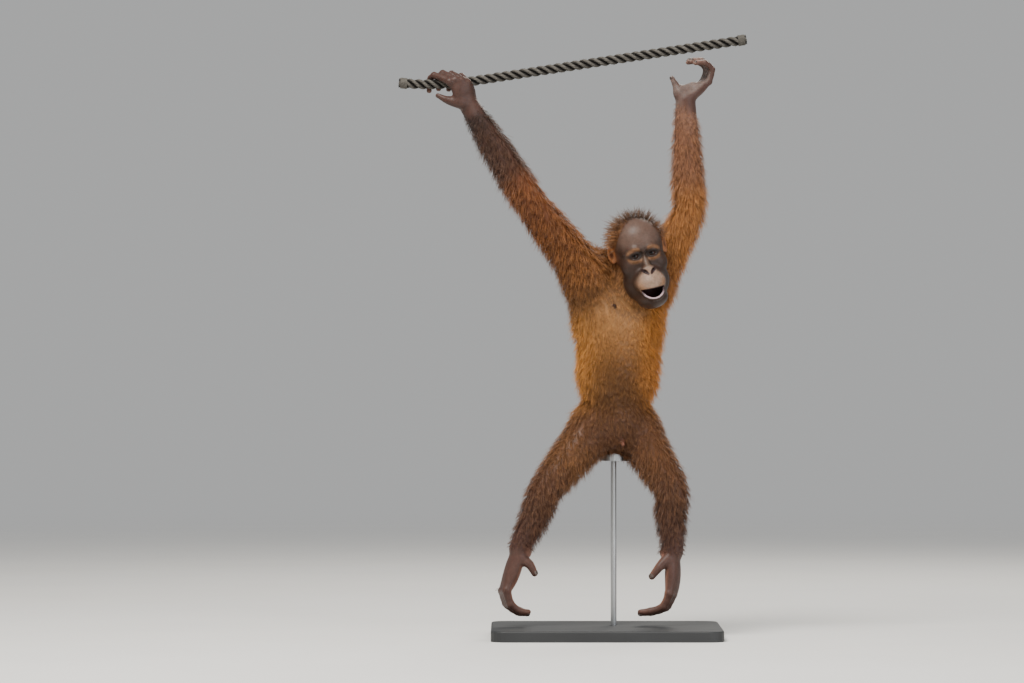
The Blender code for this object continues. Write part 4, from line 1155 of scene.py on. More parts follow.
def keep(piece, name):
    """Names a finished piece, lets it ride with the body and keeps it among the shared pieces."""
    piece.name = name
    piece.data.name = name
    for face in piece.data.polygons:
        face.use_smooth = True
    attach(piece, "root")
    shared.setdefault("pieces", {})[name] = piece
    return piece


def paint(piece, material):
    """Gives a piece one material."""
    piece.data.materials.clear()
    piece.data.materials.append(material)


def tinted(mesh, name, colours):
    """Keeps a colour for each point of a mesh."""
    layer = mesh.attributes.new(name, "FLOAT_COLOR", "POINT")
    rgba = np.ones((len(colours), 4))
    rgba[:, :3] = colours
    layer.data.foreach_set("color", rgba.ravel())


def valued(mesh, name, values):
    """Keeps a number for each point of a mesh."""
    mesh.attributes.new(name, "FLOAT", "POINT").data.foreach_set("value", np.asarray(values, float))


def thinned_under_coat(skin, ratio):
    """Fewer faces where the coat hides the skin."""
    hidden = np.flatnonzero(hairiness(points_of(skin.data)) > 0.45)
    skin.vertex_groups.new(name="hidden").add(hidden.tolist(), 1.0, "REPLACE")
    decimate = skin.modifiers.new("Decimate", "DECIMATE")
    decimate.vertex_group, decimate.ratio = "hidden", ratio
    evaluated(skin)
    skin.vertex_groups.clear()


def finer_face(skin, body):
    """Halves the face's edges and draws the new points onto the form, so that lids and lips are crisp."""
    bm = bmesh.new()
    bm.from_mesh(skin.data)
    local = head_local(points_of(skin.data)) / MM
    near = (local[:, 1] < -22) & (np.abs(local[:, 0]) < 46) & (local[:, 2] > -104) & (local[:, 2] < 26)
    bm.verts.ensure_lookup_table()
    edges = [edge for edge in bm.edges if near[edge.verts[0].index] and near[edge.verts[1].index]]
    bmesh.ops.subdivide_edges(bm, edges=edges, cuts=1, use_grid_fill=True)
    bmesh.ops.triangulate(bm, faces=[face for face in bm.faces if len(face.verts) > 4])
    bm.to_mesh(skin.data)
    bm.free()
    points = points_of(skin.data)
    local = head_local(points) / MM
    near = np.flatnonzero((local[:, 1] < -18) & (np.linalg.norm(local, axis=1) < 125))
    points[near], _ = body.settle(points[near])
    moved_to(skin.data, points)


class ORANGUTAN_OT_skin(bpy.types.Operator):
    """Builds the whole skin, with its folds, lids, markings and painted shade, in place of the flesh solids
    """

    bl_idname = "orangutan.skin"
    bl_label = "Skin"

    def execute(self, context):
        settings = context.scene.orangutan_skin
        body = make_body()
        # The hollows that get painted shade: the open mouth and both nostrils.
        dark = [(mouth_hollow(), 0.4, 1.6)]
        for side in (-1, 1):
            slit, way_in = nostril(side)
            dark += [(slit, 0.1, 1.3), (way_in, 0.2, 1.3)]
        shared.update(body=body, dark=dark, lip=lower_lip())
        skin = skin_of(body, "skin", settings.voxel)
        thinned_under_coat(skin, 0.55)
        finer_face(skin, body)
        outs = points_of(skin.data, "normal")
        tinted(skin.data, "hue", skin_tones(points_of(skin.data), outs, settings))
        paint(skin, ape_hide())
        keep(skin, "skin")
        flesh = [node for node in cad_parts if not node.startswith(("eye_", "rope", "stand_"))]
        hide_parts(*flesh)
        return {"FINISHED"}


def probed(body, points, step=0.5 * MM):
    """The body's distance and the way out of it at each point."""
    values = [body.distance(points + probe * step) for probe in PROBES]
    out = sum(v[:, None] * probe for v, probe in zip(values, PROBES))
    out /= np.maximum(np.linalg.norm(out, axis=1), 1e-9)[:, None]
    return sum(values) / 4.0, out


def rows(vectors):
    """Each row made one long."""
    return vectors / np.maximum(np.linalg.norm(vectors, axis=1), 1e-9)[:, None]


def along_skin(way, outs):
    """The part of a way that runs along the skin."""
    return way - outs * (outs @ way)[:, None]


# The coat


def roots_on(mesh, count, rng):
    """Places spread evenly over the hairy skin, by the coat's cover."""
    mesh.calc_loop_triangles()
    corners = np.empty(len(mesh.loop_triangles) * 3, np.int32)
    mesh.loop_triangles.foreach_get("vertices", corners)
    spots = points_of(mesh)[corners.reshape(-1, 3)]
    area = np.linalg.norm(np.cross(spots[:, 1] - spots[:, 0], spots[:, 2] - spots[:, 0]), axis=1) / 2
    middle = spots.mean(axis=1)
    _, size, cover, _ = markings_and_light_at(middle)
    grown = growth(middle)
    weight = area * smooth(grown, 0.02, 0.6) * cover * (30 * MM / (size * (0.4 + 0.6 * grown) + 8 * MM))
    order = np.lexsort((middle[:, 0], np.floor(middle[:, 2] / (12 * MM)), np.floor(middle[:, 1] / (25 * MM))))
    total = np.cumsum(weight[order])
    picks = (np.arange(count) + rng.random(count)) / count * total[-1]
    chosen = order[np.searchsorted(total, picks)]
    first, second = rng.random((2, count))
    over = first + second > 1
    first[over], second[over] = 1 - first[over], 1 - second[over]
    face = spots[chosen]
    spot = face[:, 0] + first[:, None] * (face[:, 1] - face[:, 0])
    return spot + second[:, None] * (face[:, 2] - face[:, 0])


# A guide's steps, how deep its root sits and about how high it rises in millimetres, and what bends it
GUIDE_STEPS = 4
ROOT_DEPTH = 1.2
RISE = 6.2
SCATTER = 0.16
STIFFNESS = 0.8
WEIGHT = 0.28
SPRING = 0.05


def combed(body, roots, sizes, rng):
    """Guides that slide down over the body under their own weight and hang free where it turns under."""
    count = len(roots)
    _, outs = probed(body, roots)
    local = head_local(roots) / MM
    near_head = 1.0 - smooth(np.linalg.norm(local - (0, 0, 8), axis=1), 76, 100)
    near_head = (near_head * smooth(local[:, 2], -25, 5))[:, None]
    crown = near_head * smooth(local[:, 2], 0, 30)[:, None]
    back = HEAD_TURN @ unit((0.0, 0.75, -0.5))
    lie = along_skin(DOWN, outs) + rng.normal(0, SCATTER, (count, 3))
    lie = lie * (1 - near_head) + along_skin(back, outs) * near_head
    lift = 0.22 + 0.18 * rng.random((count, 1)) + 2.2 * crown
    way = rows(rows(lie) + outs * lift)
    rise = RISE * MM * (0.35 + 0.75 * rng.random(count))
    spot = roots - outs * ROOT_DEPTH * MM
    path, out_path = [spot.copy()], [outs.copy()]
    spot = roots.copy()
    for step in range(1, GUIDE_STEPS + 1):
        spot = spot + way * (sizes / GUIDE_STEPS)[:, None]
        value, out = probed(body, spot)
        short = np.clip(rise * (step / GUIDE_STEPS) ** 0.6 - value, 0.0, 8 * MM)
        spot = spot + out * short[:, None]
        fall = DOWN * WEIGHT * (1 - 0.8 * crown)
        way = rows(rows(spot - path[-1]) * STIFFNESS + fall + out * SPRING)
        path.append(spot.copy())
        out_path.append(out)
    return np.stack(path, axis=1), np.stack(out_path, axis=1)


# How hairs stray from their guide, as shares of its length, and how far they fluff up in millimetres
PINCH = 0.45
WAVE = 0.045
DRIFT = 0.09
LOOSE = 0.42
FLUFF = 1.6


def hairs_of(guides, outs, spread, each, rng):
    """Several hairs about each guide, apart at the root and drawn together at the tip."""
    count, steps = guides.shape[:2]
    index = np.repeat(np.arange(count), each)
    total = len(index)
    share = np.linspace(0.0, 1.0, steps)
    out = outs[index, 0]
    way = rows(guides[index, 2] - guides[index, 0])
    side = rows(np.cross(out, way))
    along = np.cross(side, out)
    angle, radius = rng.random(total) * 2 * math.pi, spread[index] * np.sqrt(rng.random(total))
    offset = side * (radius * np.cos(angle))[:, None] + along * (radius * np.sin(angle))[:, None]
    pinch = PINCH * rng.random(count)[index]
    paths = guides[index] + offset[:, None, :] * (1.0 - pinch[:, None] * share[None])[:, :, None]
    reach = np.linalg.norm(guides[:, -1] - guides[:, 0], axis=1)[index]
    wave = rng.normal(0, WAVE, total) * reach
    bend = np.sin(share * math.pi * 1.4)[None] * wave[:, None]
    paths = paths + side[:, None, :] * bend[:, :, None]
    drift = rng.normal(0, DRIFT, total) * reach
    paths = paths + side[:, None, :] * (drift[:, None] * share[None])[:, :, None]
    loose = rng.random(total) ** 5 * LOOSE * reach
    stand = (share**1.5)[None] * (loose + rng.random(total) * FLUFF * MM)[:, None]
    paths = paths + outs[index] * stand[:, :, None]
    cut = 0.6 + 0.4 * rng.random(total)
    root = paths[:, :1]
    paths = root + (paths - root) * cut[:, None, None]
    return paths, outs[index], index


def hair_tones(hue, tip, share):
    """Each hair's colour along it: darker at the root, and light shines through at the tip."""
    share = share[None, :, None]
    base = hue[:, None, :] * (0.55 + 0.5 * share**0.7)
    warm = tip[None, None] * (hue.mean(axis=1) * 6.0).clip(0.2, 1.0)[:, None, None]
    return np.clip(base + (warm - base) * (0.32 * share**2), 0, 1)


def blade_faces(steps, sample):
    """The faces of one hair, turned outwards: three sides at each step, a closed root and a pointed tip."""
    sides = ((0, 1), (1, 2), (2, 0))
    last = 3 * (steps - 2)
    quads = [(k + b, k + a, k + 3 + a, k + 3 + b) for k in range(0, last, 3) for a, b in sides]
    tris = [(0, 1, 2)] + [(last + b, last + a, last + 3) for a, b in sides]
    quads, tris = np.array(quads), np.array(tris)
    fan = [*tris, *quads[:, :3], *quads[:, [0, 2, 3]]]
    if sum(np.dot(sample[a], np.cross(sample[b], sample[c])) for a, b, c in fan) < 0:
        quads, tris = quads[:, ::-1], tris[:, ::-1]
    return quads, tris


# How wide each hair's own patch is on the unwrap of the skin
PATCH = 0.003


def hair_mesh(name, paths, outs, leans, widths, hue, patches, tip):
    """Thin three-sided blades that taper to a point, all in one mesh."""
    count, steps = paths.shape[:2]
    way = np.gradient(paths, axis=1)
    way /= np.maximum(np.linalg.norm(way, axis=2), 1e-9)[:, :, None]
    side = np.cross(paths[:, -1] - paths[:, 0], outs[:, 0] + leans)[:, None, :]
    side = side - way * (side * way).sum(axis=2)[:, :, None]
    side /= np.maximum(np.linalg.norm(side, axis=2), 1e-9)[:, :, None]
    up = np.cross(side, way)
    share = np.linspace(0.0, 1.0, steps)
    profile = np.interp(share, (0.0, 0.3, 0.7, 1.0), (0.75, 1.0, 0.68, 0.0))
    half = widths[:, None] * profile[None] / 2
    rings = []
    for across, lift in ((1.0, 0.0), (-1.0, 0.0), (0.0, 0.7)):
        rings.append(paths + side * (across * half)[:, :, None] + up * (lift * half)[:, :, None])
    rings = np.stack(rings, axis=2)[:, :-1].reshape(count, (steps - 1) * 3, 3)
    points = np.concatenate([rings, paths[:, -1:]], axis=1)
    each = points.shape[1]
    quads, tris = blade_faces(steps, points[0])
    base = np.arange(count)[:, None, None] * each
    loops = np.concatenate([(quads[None] + base).ravel(), (tris[None] + base).ravel()])
    squares, corners = len(quads) * count, len(tris) * count
    starts = np.concatenate([np.arange(squares) * 4, squares * 4 + np.arange(corners) * 3])
    mesh = bpy.data.meshes.new(name)
    mesh.vertices.add(count * each)
    mesh.vertices.foreach_set("co", points.ravel())
    mesh.loops.add(len(loops))
    mesh.loops.foreach_set("vertex_index", loops.astype(np.int32))
    mesh.polygons.add(len(starts))
    mesh.polygons.foreach_set("loop_start", starts.astype(np.int32))
    mesh.update(calc_edges=True)
    ring_share = np.append(np.repeat(share[:-1], 3), 1.0)
    ring_side = np.append(np.tile((0.0, 1.0, 0.5), steps - 1), 0.5)
    small = np.stack([ring_side - 0.5, ring_share - 0.5], axis=1) * PATCH
    uv = (patches[:, None, :] + small[None]).reshape(-1, 2)
    mesh.uv_layers.new(name="OFBake").data.foreach_set("uv", uv[loops].ravel())
    tinted(mesh, "hue", hair_tones(hue, tip, ring_share).reshape(-1, 3))
    obj = bpy.data.objects.new(name, mesh)
    bpy.context.scene.collection.objects.link(obj)
    return obj


UNWRAP_FACES = 9000


def unwrapped(skin):
    """A coarse copy of the skin with its own unwrap: its tree of faces, their corners and their places."""
    copy = skin.copy()
    copy.data = skin.data.copy()
    bpy.context.scene.collection.objects.link(copy)
    decimate = copy.modifiers.new("Decimate", "DECIMATE")
    decimate.ratio = UNWRAP_FACES / max(UNWRAP_FACES, len(copy.data.polygons) * 1.6)
    evaluated(copy)
    bpy.ops.object.select_all(action="DESELECT")
    copy.select_set(True)
    bpy.context.view_layer.objects.active = copy
    bpy.ops.object.mode_set(mode="EDIT")
    bpy.ops.mesh.select_all(action="SELECT")
    bpy.ops.mesh.quads_convert_to_tris()
    bpy.ops.uv.smart_project(angle_limit=math.radians(66), island_margin=0.002)
    bpy.ops.object.mode_set(mode="OBJECT")
    mesh = copy.data
    faces = np.array([tuple(face.vertices) for face in mesh.polygons])
    points = points_of(mesh)
    uv = np.empty(len(mesh.loops) * 2)
    mesh.uv_layers.active.data.foreach_get("uv", uv)
    tree = BVHTree.FromPolygons(points.tolist(), faces.tolist())
    made = (tree, points[faces], uv.reshape(-1, 3, 2))
    bpy.data.objects.remove(copy)
    return made


def patches_at(unwrap, points):
    """The place on the skin's own unwrap of the spot nearest to each point."""
    tree, corners, uv = unwrap
    found = [tree.find_nearest(Vector(point)) for point in points]
    spots = np.array([row[0][:] for row in found])
    index = np.array([row[2] for row in found])
    a, b, c = (corners[index, k] for k in range(3))
    ab, ac, ap = b - a, c - a, spots - a
    d00, d01, d11 = (ab * ab).sum(1), (ab * ac).sum(1), (ac * ac).sum(1)
    d20, d21 = (ap * ab).sum(1), (ap * ac).sum(1)
    under = np.maximum(d00 * d11 - d01 * d01, 1e-20)
    v, w = (d11 * d20 - d01 * d21) / under, (d00 * d21 - d01 * d20) / under
    v, w = np.clip(v, 0, 1), np.clip(w, 0, 1)
    return uv[index, 0] * (1 - v - w)[:, None] + uv[index, 1] * v[:, None] + uv[index, 2] * w[:, None]


# The most hairs in one piece of the coat, at 22 triangles each
MOST_HAIRS = 9000


class ORANGUTAN_OT_coat(bpy.types.Operator):
    """Grows the coat in locks that follow its lie over the skin"""

    bl_idname = "orangutan.coat"
    bl_label = "Coat"

    def execute(self, context):
        if "skin" not in shared.get("pieces", {}):
            raise RuntimeError("the coat needs the skin")
        settings = context.scene.orangutan_coat
        skin, body = shared["pieces"]["skin"], shared["body"]
        rng = np.random.default_rng(11)
        roots = roots_on(skin.data, settings.locks, rng)
        tone, size, _, group = markings_and_light_at(roots)
        thick = smooth(growth(roots), 0.0, 0.8)
        size = size * (0.35 + 0.55 * thick) * (0.75 + 0.5 * rng.random(len(roots)))
        guides, outs = combed(body, roots, size, rng)
        spread = settings.spread * np.clip(size / (26 * MM), 0.5, 1.15)
        paths, hair_outs, index = hairs_of(guides, outs, spread, settings.hairs, rng)
        unwrap = unwrapped(skin)
        patches = patches_at(unwrap, paths[:, 0])
        lock_shade = np.exp(rng.normal(0, 0.1, len(roots)))[index]
        shade = lock_shade * np.exp(rng.normal(0, 0.17, len(index)))
        widths = settings.hair_width * (0.6 + 0.6 * rng.random(len(index)))
        widths = widths * np.clip(size[index] / (24 * MM), 0.6, 1.15)
        leans = 0.4 * rows(rng.normal(0, 1, (len(index), 3)))
        hue = tone[index] * shade[:, None]
        names = sorted(set(row[0] for row in MARKINGS_AND_LIGHT))
        label = np.array([names.index(MARKINGS_AND_LIGHT[k][0]) for k in group])[index]
        material = ape_hair()
        tip = np.array(settings.tip)
        for number, name in enumerate(names):
            members = np.flatnonzero(label == number)
            parts = max(1, math.ceil(len(members) / MOST_HAIRS))
            for part, chosen in enumerate(np.array_split(members, parts)):
                title = "coat_" + name + ("_%d" % (part + 1) if parts > 1 else "")
                given = (values[chosen] for values in (paths, hair_outs, leans, widths, hue, patches))
                piece = hair_mesh(title, *given, tip)
                paint(piece, material)
                keep(piece, title)
        return {"FINISHED"}


# The eyes and nails, with the cornea's reach in degrees and its bulge as a share of the eye's radius
GAZE = (-0.02, -1.0, -0.03)
CORNEA_REACH = 36.0
CORNEA_BULGE = 0.075


class ORANGUTAN_OT_eyes(bpy.types.Operator):
    """Builds each eyeball with its cornea, iris and pupil"""

    bl_idname = "orangutan.eyes"
    bl_label = "Eyes"

    def execute(self, context):
        material = wet_eye()
        gaze = Vector(unit(GAZE)).to_track_quat("Z", "Y").to_matrix().to_4x4()
        for side, letter in ((-1, "R"), (1, "L")):
            bm = bmesh.new()
            bmesh.ops.create_uvsphere(bm, u_segments=40, v_segments=36, radius=EYE_RADIUS * MM)
            rings = []
            for vert in bm.verts:
                angle = math.degrees(vert.co.angle(Vector((0, 0, 1))))
                rings.append(angle / 90.0)
                vert.co *= 1.0 + CORNEA_BULGE * max(0.0, 1.0 - (angle / CORNEA_REACH) ** 2)
            place = Matrix.Translation(Vector(mirrored(side, *EYE_PLACE)))
            bmesh.ops.transform(bm, matrix=place @ gaze, verts=bm.verts)
            eye = mesh_object("eye", bm)
            valued(eye.data, "ring", rings)
            paint(eye, material)
            keep(eye, "eyeball_" + letter)
            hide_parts("eye_" + letter)
        return {"FINISHED"}


NAIL_ROWS = 7
NAIL_THICKNESS = 0.9 * MM


def nail(digit, radius, body):
    """A curved plate bedded in the back of a digit's tip."""
    tip, before, earlier = digit[-1], digit[-2], digit[-3]
    way = unit(tip - before)
    back = before - (tip + earlier) / 2
    back = unit(back - way * np.dot(back, way))
    side = np.cross(way, back)
    grid = []
    for row in range(NAIL_ROWS):
        along = row / (NAIL_ROWS - 1)
        for column in range(NAIL_ROWS):
            across = column / ((NAIL_ROWS - 1) / 2) - 1.0
            angle = across * 1.05 * (1.0 - 0.25 * (1 - along) ** 2)
            reach = radius * MM * (1.06 - 0.08 * along**2)
            end = 1.0 - 0.22 * across * across
            spot = tip + way * radius * MM * (-0.55 + 1.45 * along * end)
            grid.append(spot + (back * math.cos(angle) + side * math.sin(angle)) * reach)
    grid = np.array(grid)
    value, out = probed(body, grid)
    bm = bmesh.new()
    verts = [bm.verts.new(point) for point in grid - out * (value - 0.35 * MM)[:, None]]
    for row in range(NAIL_ROWS - 1):
        for k in range(row * NAIL_ROWS, row * NAIL_ROWS + NAIL_ROWS - 1):
            bm.faces.new((verts[k], verts[k + 1], verts[k + 1 + NAIL_ROWS], verts[k + NAIL_ROWS]))
    plate = mesh_object("nail", bm)
    wall = plate.modifiers.new("wall", "SOLIDIFY")
    wall.thickness, wall.offset = NAIL_THICKNESS, 0.0
    smoothed = plate.modifiers.new("smooth", "SUBSURF")
    smoothed.levels = smoothed.render_levels = 1
    evaluated(plate)
    bm = bmesh.new()
    bm.from_mesh(plate.data)
    bmesh.ops.recalc_face_normals(bm, faces=bm.faces)
    bm.to_mesh(plate.data)
    bm.free()
    return plate


def joined(name, objects):
    """Several mesh objects as one."""
    bm = bmesh.new()
    for obj in objects:
        bm.from_mesh(obj.data)
        bpy.data.objects.remove(obj)
    return mesh_object(name, bm)


class ORANGUTAN_OT_nails(bpy.types.Operator):
    """Beds a nail in the back of each finger, thumb and toe"""

    bl_idname = "orangutan.nails"
    bl_label = "Nails"

    def execute(self, context):
        if "body" not in shared:
            raise RuntimeError("the nails need the skin")
        material = nail_keratin()
        for name, grip in GRIPS.items():
            ends = [(digit, grip.radii_of(number)[-1]) for number, digit in enumerate(grip.digits)]
            ends.append((grip.thumb, grip.thumb_radii[-1]))
            piece = joined("nails_" + name, [nail(digit, radius, shared["body"]) for digit, radius in ends])
            paint(piece, material)
            keep(piece, "nails_" + name)
        return {"FINISHED"}


# The rope
STRAND_CORNERS = 14


def rope_tree(settings, material):
    """Strands laid round a path, with stray fibres that stand off them."""
    tree = bpy.data.node_groups.new("Laid rope", "GeometryNodeTree")
    face = tree.interface
    face.new_socket("Path", in_out="INPUT", socket_type="NodeSocketGeometry")
    for name, kind, value in (
        ("Rope radius", "NodeSocketFloat", settings.radius),
        ("Strand radius", "NodeSocketFloat", settings.radius * 0.46),
        ("Lay", "NodeSocketFloat", settings.lay),
        ("Strands", "NodeSocketInt", settings.strands),
        ("Fibre density", "NodeSocketFloat", 26000.0),
        ("Fibre length", "NodeSocketFloat", 0.0042),
    ):
        face.new_socket(name, in_out="INPUT", socket_type=kind).default_value = value
    face.new_socket("Rope", in_out="OUTPUT", socket_type="NodeSocketGeometry")
    given = add_node(tree, "NodeGroupInput").outputs
    line = add_node(tree, "GeometryNodeMeshToCurve", {"Mesh": given["Path"]}).outputs["Curve"]
    line = add_node(
        tree, "GeometryNodeResampleCurve", {"Curve": line, "Length": 2 * MM}, mode="LENGTH"
    ).outputs["Curve"]
    run = add_node(tree, "GeometryNodeSplineParameter").outputs["Length"]
    line = add_node(
        tree, "GeometryNodeStoreNamedAttribute", {"Geometry": line, "Name": "run", "Value": run},
        data_type="FLOAT", domain="POINT",
    ).outputs["Geometry"]
    turns = add_node(tree, "ShaderNodeMath", {0: run, 1: given["Lay"]}, operation="DIVIDE").outputs[0]
    tilt = add_node(tree, "ShaderNodeMath", {0: turns, 1: 2 * math.pi}, operation="MULTIPLY").outputs[0]
    line = add_node(tree, "GeometryNodeSetCurveTilt", {"Curve": line, "Tilt": tilt}).outputs["Curve"]
    ring_radius = add_node(
        tree, "ShaderNodeMath", {0: given["Rope radius"], 1: given["Strand radius"]}, operation="SUBTRACT"
    ).outputs[0]
    ring = add_node(
        tree, "GeometryNodeCurvePrimitiveCircle", {"Resolution": given["Strands"], "Radius": ring_radius}
    ).outputs["Curve"]
    strand = add_node(
        tree, "GeometryNodeCurvePrimitiveCircle",
        {"Resolution": STRAND_CORNERS, "Radius": given["Strand radius"]},
    ).outputs["Curve"]
    index = add_node(tree, "GeometryNodeInputIndex").outputs["Index"]
    turn = add_node(
        tree, "ShaderNodeMath", {0: index, 1: float(STRAND_CORNERS)}, operation="DIVIDE"
    ).outputs[0]
    strand = add_node(
        tree, "GeometryNodeStoreNamedAttribute", {"Geometry": strand, "Name": "turn", "Value": turn},
        data_type="FLOAT", domain="POINT",
    ).outputs["Geometry"]
    rings = add_node(
        tree, "GeometryNodeInstanceOnPoints", {"Points": ring, "Instance": strand}
    ).outputs["Instances"]
    rings = add_node(tree, "GeometryNodeRealizeInstances", {"Geometry": rings}).outputs["Geometry"]
    spot = add_node(tree, "GeometryNodeInputPosition").outputs["Position"]
    far = add_node(tree, "ShaderNodeVectorMath", {0: spot}, operation="LENGTH").outputs["Value"]
    far = add_node(tree, "ShaderNodeMath", {0: far, 1: given["Rope radius"]}, operation="DIVIDE").outputs[0]
    outer = add_node(
        tree, "ShaderNodeMapRange", {"Value": far, "From Min": 0.72, "From Max": 0.95}
    ).outputs["Result"]
    rings = add_node(
        tree, "GeometryNodeStoreNamedAttribute", {"Geometry": rings, "Name": "outer", "Value": outer},
        data_type="FLOAT", domain="POINT",
    ).outputs["Geometry"]
    laid = add_node(
        tree, "GeometryNodeCurveToMesh", {"Curve": line, "Profile Curve": rings, "Fill Caps": True}
    ).outputs["Mesh"]
    laid = add_node(tree, "GeometryNodeSetShadeSmooth", {"Geometry": laid}).outputs["Geometry"]
    seeded = add_node(
        tree, "GeometryNodeDistributePointsOnFaces",
        {"Mesh": laid, "Density": given["Fibre density"], "Seed": 5},
    ).outputs
    whisker = add_node(
        tree, "GeometryNodeMeshCone",
        {"Vertices": 3, "Radius Top": 0.0, "Radius Bottom": 0.00022, "Depth": given["Fibre length"]},
    ).outputs["Mesh"]
    lean = add_node(
        tree, "FunctionNodeRandomValue", {0: (-1.25, -1.25, -3.0), 1: (1.25, 1.25, 3.0)},
        data_type="FLOAT_VECTOR",
    ).outputs[0]
    turned_out = add_node(
        tree, "FunctionNodeRotateRotation", {"Rotation": seeded["Rotation"], "Rotate By": lean},
        rotation_space="LOCAL",
    ).outputs["Rotation"]
    fluff = add_node(
        tree, "GeometryNodeInstanceOnPoints",
        {"Points": seeded["Points"], "Instance": whisker, "Rotation": turned_out},
    ).outputs["Instances"]
    both = add_node(tree, "GeometryNodeJoinGeometry")
    tree.links.new(laid, both.inputs[0])
    tree.links.new(fluff, both.inputs[0])
    whole = add_node(
        tree, "GeometryNodeRealizeInstances", {"Geometry": both.outputs["Geometry"]}
    ).outputs["Geometry"]
    whole = add_node(
        tree, "GeometryNodeSetMaterial", {"Geometry": whole, "Material": material}
    ).outputs["Geometry"]
    add_node(tree, "NodeGroupOutput", {"Rope": whole})
    return tree


TWINE_RADIUS = 0.75 * MM
TWINE_TURNS = 9
STEPS_A_TURN = 24


def whipping(end, way, radius):
    """Twine wound tightly round the rope's end."""
    points = []
    for step in range(TWINE_TURNS * STEPS_A_TURN + 1):
        turn = step / STEPS_A_TURN
        angle = turn * 2 * math.pi
        middle = end + way * (3 * MM + turn * 2.0 * TWINE_RADIUS)
        side = np.array([0.0, math.cos(angle), math.sin(angle)])
        side = side - way * np.dot(side, way)
        points.append(middle + unit(side) * (radius + 0.2 * MM))
    return tube("whipping", points, TWINE_RADIUS)


class ORANGUTAN_OT_rope(bpy.types.Operator):
    """Lays the rope's strands along its line and binds its two ends"""

    bl_idname = "orangutan.rope"
    bl_label = "Rope"

    def execute(self, context):
        settings = context.scene.orangutan_rope
        material = laid_fibre(settings)
        points = rope_points()
        bm = bmesh.new()
        verts = [bm.verts.new(point) for point in points]
        for first, second in zip(verts, verts[1:]):
            bm.edges.new((first, second))
        rope = mesh_object("rope_line", bm)
        laid = rope.modifiers.new("Laid rope", "NODES")
        laid.node_group = rope_tree(settings, material)
        evaluated(rope)
        if len(rope.data.polygons) < 1000:
            raise RuntimeError("the rope's strands weren't made")
        keep(rope, "rope_strands")
        ends = ((points[0], points[1]), (points[-1], points[-2]))
        bindings = [whipping(end, unit(inner - end), settings.radius) for end, inner in ends]
        binding = joined("rope_whipping", bindings)
        valued(binding.data, "outer", np.ones(len(binding.data.vertices)))
        paint(binding, material)
        keep(binding, "rope_whipping")
        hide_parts("rope")
        return {"FINISHED"}


# The stand and the stage


class ORANGUTAN_OT_stand(bpy.types.Operator):
    """Finishes the stand's board, rod and rest"""

    bl_idname = "orangutan.stand"
    bl_label = "Stand finish"

    def execute(self, context):
        painted, steel = board_paint(context.scene.orangutan_stage), satin_steel()
        for name, material in (("stand_base", painted), ("stand_rod", steel), ("stand_rest", steel)):
            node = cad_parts[name]
            if not node.material_slots:
                node.data.materials.append(material)
            for slot in node.material_slots:
                slot.material = material
        return {"FINISHED"}


# Each light: its place, the height it faces, its size, its share of the key light's power, and its tone
LIGHTS = {
    "key": ((-1.1, -2.0, 3.5), 0.7, 1.8, 1.0, (1.0, 0.97, 0.92)),
    "fill": ((2.8, -3.2, 1.4), 0.6, 2.4, 0.35, (0.93, 0.96, 1.0)),
    "rim": ((1.0, 2.6, 2.6), 0.7, 1.6, 0.2, (1.0, 0.96, 0.88)),
}


def area_light(name, place, height, size, power, tone):
    """A round soft light that faces the model at a height."""
    lamp = bpy.data.lights.new(name, "AREA")
    lamp.shape, lamp.size, lamp.energy, lamp.color = "DISK", size, power, tone
    obj = bpy.data.objects.new(name, lamp)
    obj.location = place
    obj.rotation_euler = (Vector((0, 0, height)) - Vector(place)).to_track_quat("-Z", "Y").to_euler()
    bpy.context.scene.collection.objects.link(obj)


CAMERA_PLACE = (-0.188, -9.0, 0.591)
FRAME_WIDTH = 2.048
SENSOR_WIDTH = 36.0


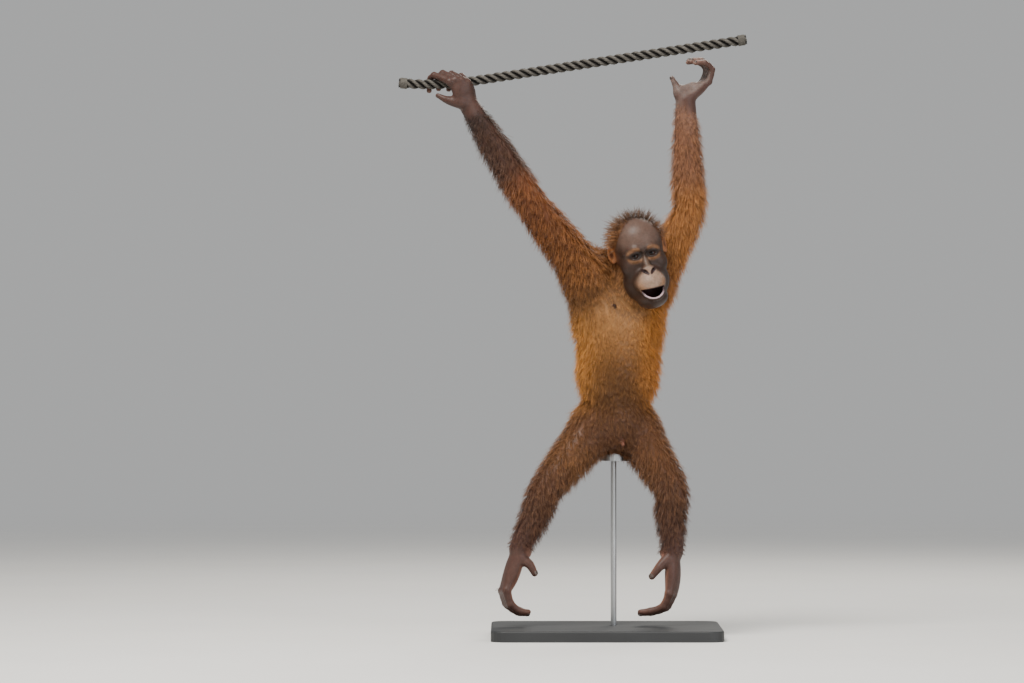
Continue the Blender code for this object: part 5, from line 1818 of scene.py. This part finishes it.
class ORANGUTAN_OT_stage(bpy.types.Operator):
    """Sets the pale floor, the soft lights and the camera at the photo's angle"""

    bl_idname = "orangutan.stage"
    bl_label = "Stage"

    def execute(self, context):
        settings = context.scene.orangutan_stage
        bm = bmesh.new()
        bmesh.ops.create_circle(bm, cap_ends=True, segments=96, radius=9.0)
        floor = mesh_object("studio_floor", bm)
        paint(floor, studio_floor(settings))
        for name, (place, height, size, share, tone) in LIGHTS.items():
            area_light(name, place, height, size, settings.key_power * share, tone)
        world = bpy.data.worlds.new("studio")
        world.use_nodes = True
        air = world.node_tree.nodes["Background"].inputs
        air["Color"].default_value = (*linear("#E9EAEA"), 1.0)
        air["Strength"].default_value = 0.55
        context.scene.world = world
        camera = bpy.data.cameras.new("camera")
        camera.sensor_width = SENSOR_WIDTH
        camera.lens = SENSOR_WIDTH * -CAMERA_PLACE[1] / FRAME_WIDTH
        camera.clip_end = 60.0
        obj = bpy.data.objects.new("camera", camera)
        obj.location = CAMERA_PLACE
        obj.rotation_euler = (math.radians(90.0), 0.0, 0.0)
        context.scene.collection.objects.link(obj)
        context.scene.camera = obj
        return {"FINISHED"}


# The add-on itself
STEPS = ("stage", "skin", "coat", "eyes", "nails", "rope", "stand")


class VIEW3D_PT_orangutan(bpy.types.Panel):
    """Lists the steps that build the model, and what each can be given"""

    bl_label = "Orangutan"
    bl_space_type = "VIEW_3D"
    bl_region_type = "UI"
    bl_category = "Orangutan"

    def draw(self, context):
        for step in STEPS:
            self.layout.operator("orangutan." + step)
        for name, group in SETTINGS.items():
            box = self.layout.box()
            for key in group.__annotations__:
                box.prop(getattr(context.scene, name), key)


CLASSES = (
    SkinSettings, CoatSettings, RopeSettings, StageSettings, ORANGUTAN_OT_stage, ORANGUTAN_OT_skin,
    ORANGUTAN_OT_coat, ORANGUTAN_OT_eyes, ORANGUTAN_OT_nails, ORANGUTAN_OT_rope, ORANGUTAN_OT_stand,
    VIEW3D_PT_orangutan,
)


def register():
    for made in CLASSES:
        bpy.utils.register_class(made)
    for name, group in SETTINGS.items():
        setattr(bpy.types.Scene, name, PointerProperty(type=group))


def unregister():
    for name in SETTINGS:
        delattr(bpy.types.Scene, name)
    for made in reversed(CLASSES):
        bpy.utils.unregister_class(made)


def main():
    register()
    for step in STEPS:
        getattr(bpy.ops.orangutan, step)()


if __name__ == "__main__":
    main()
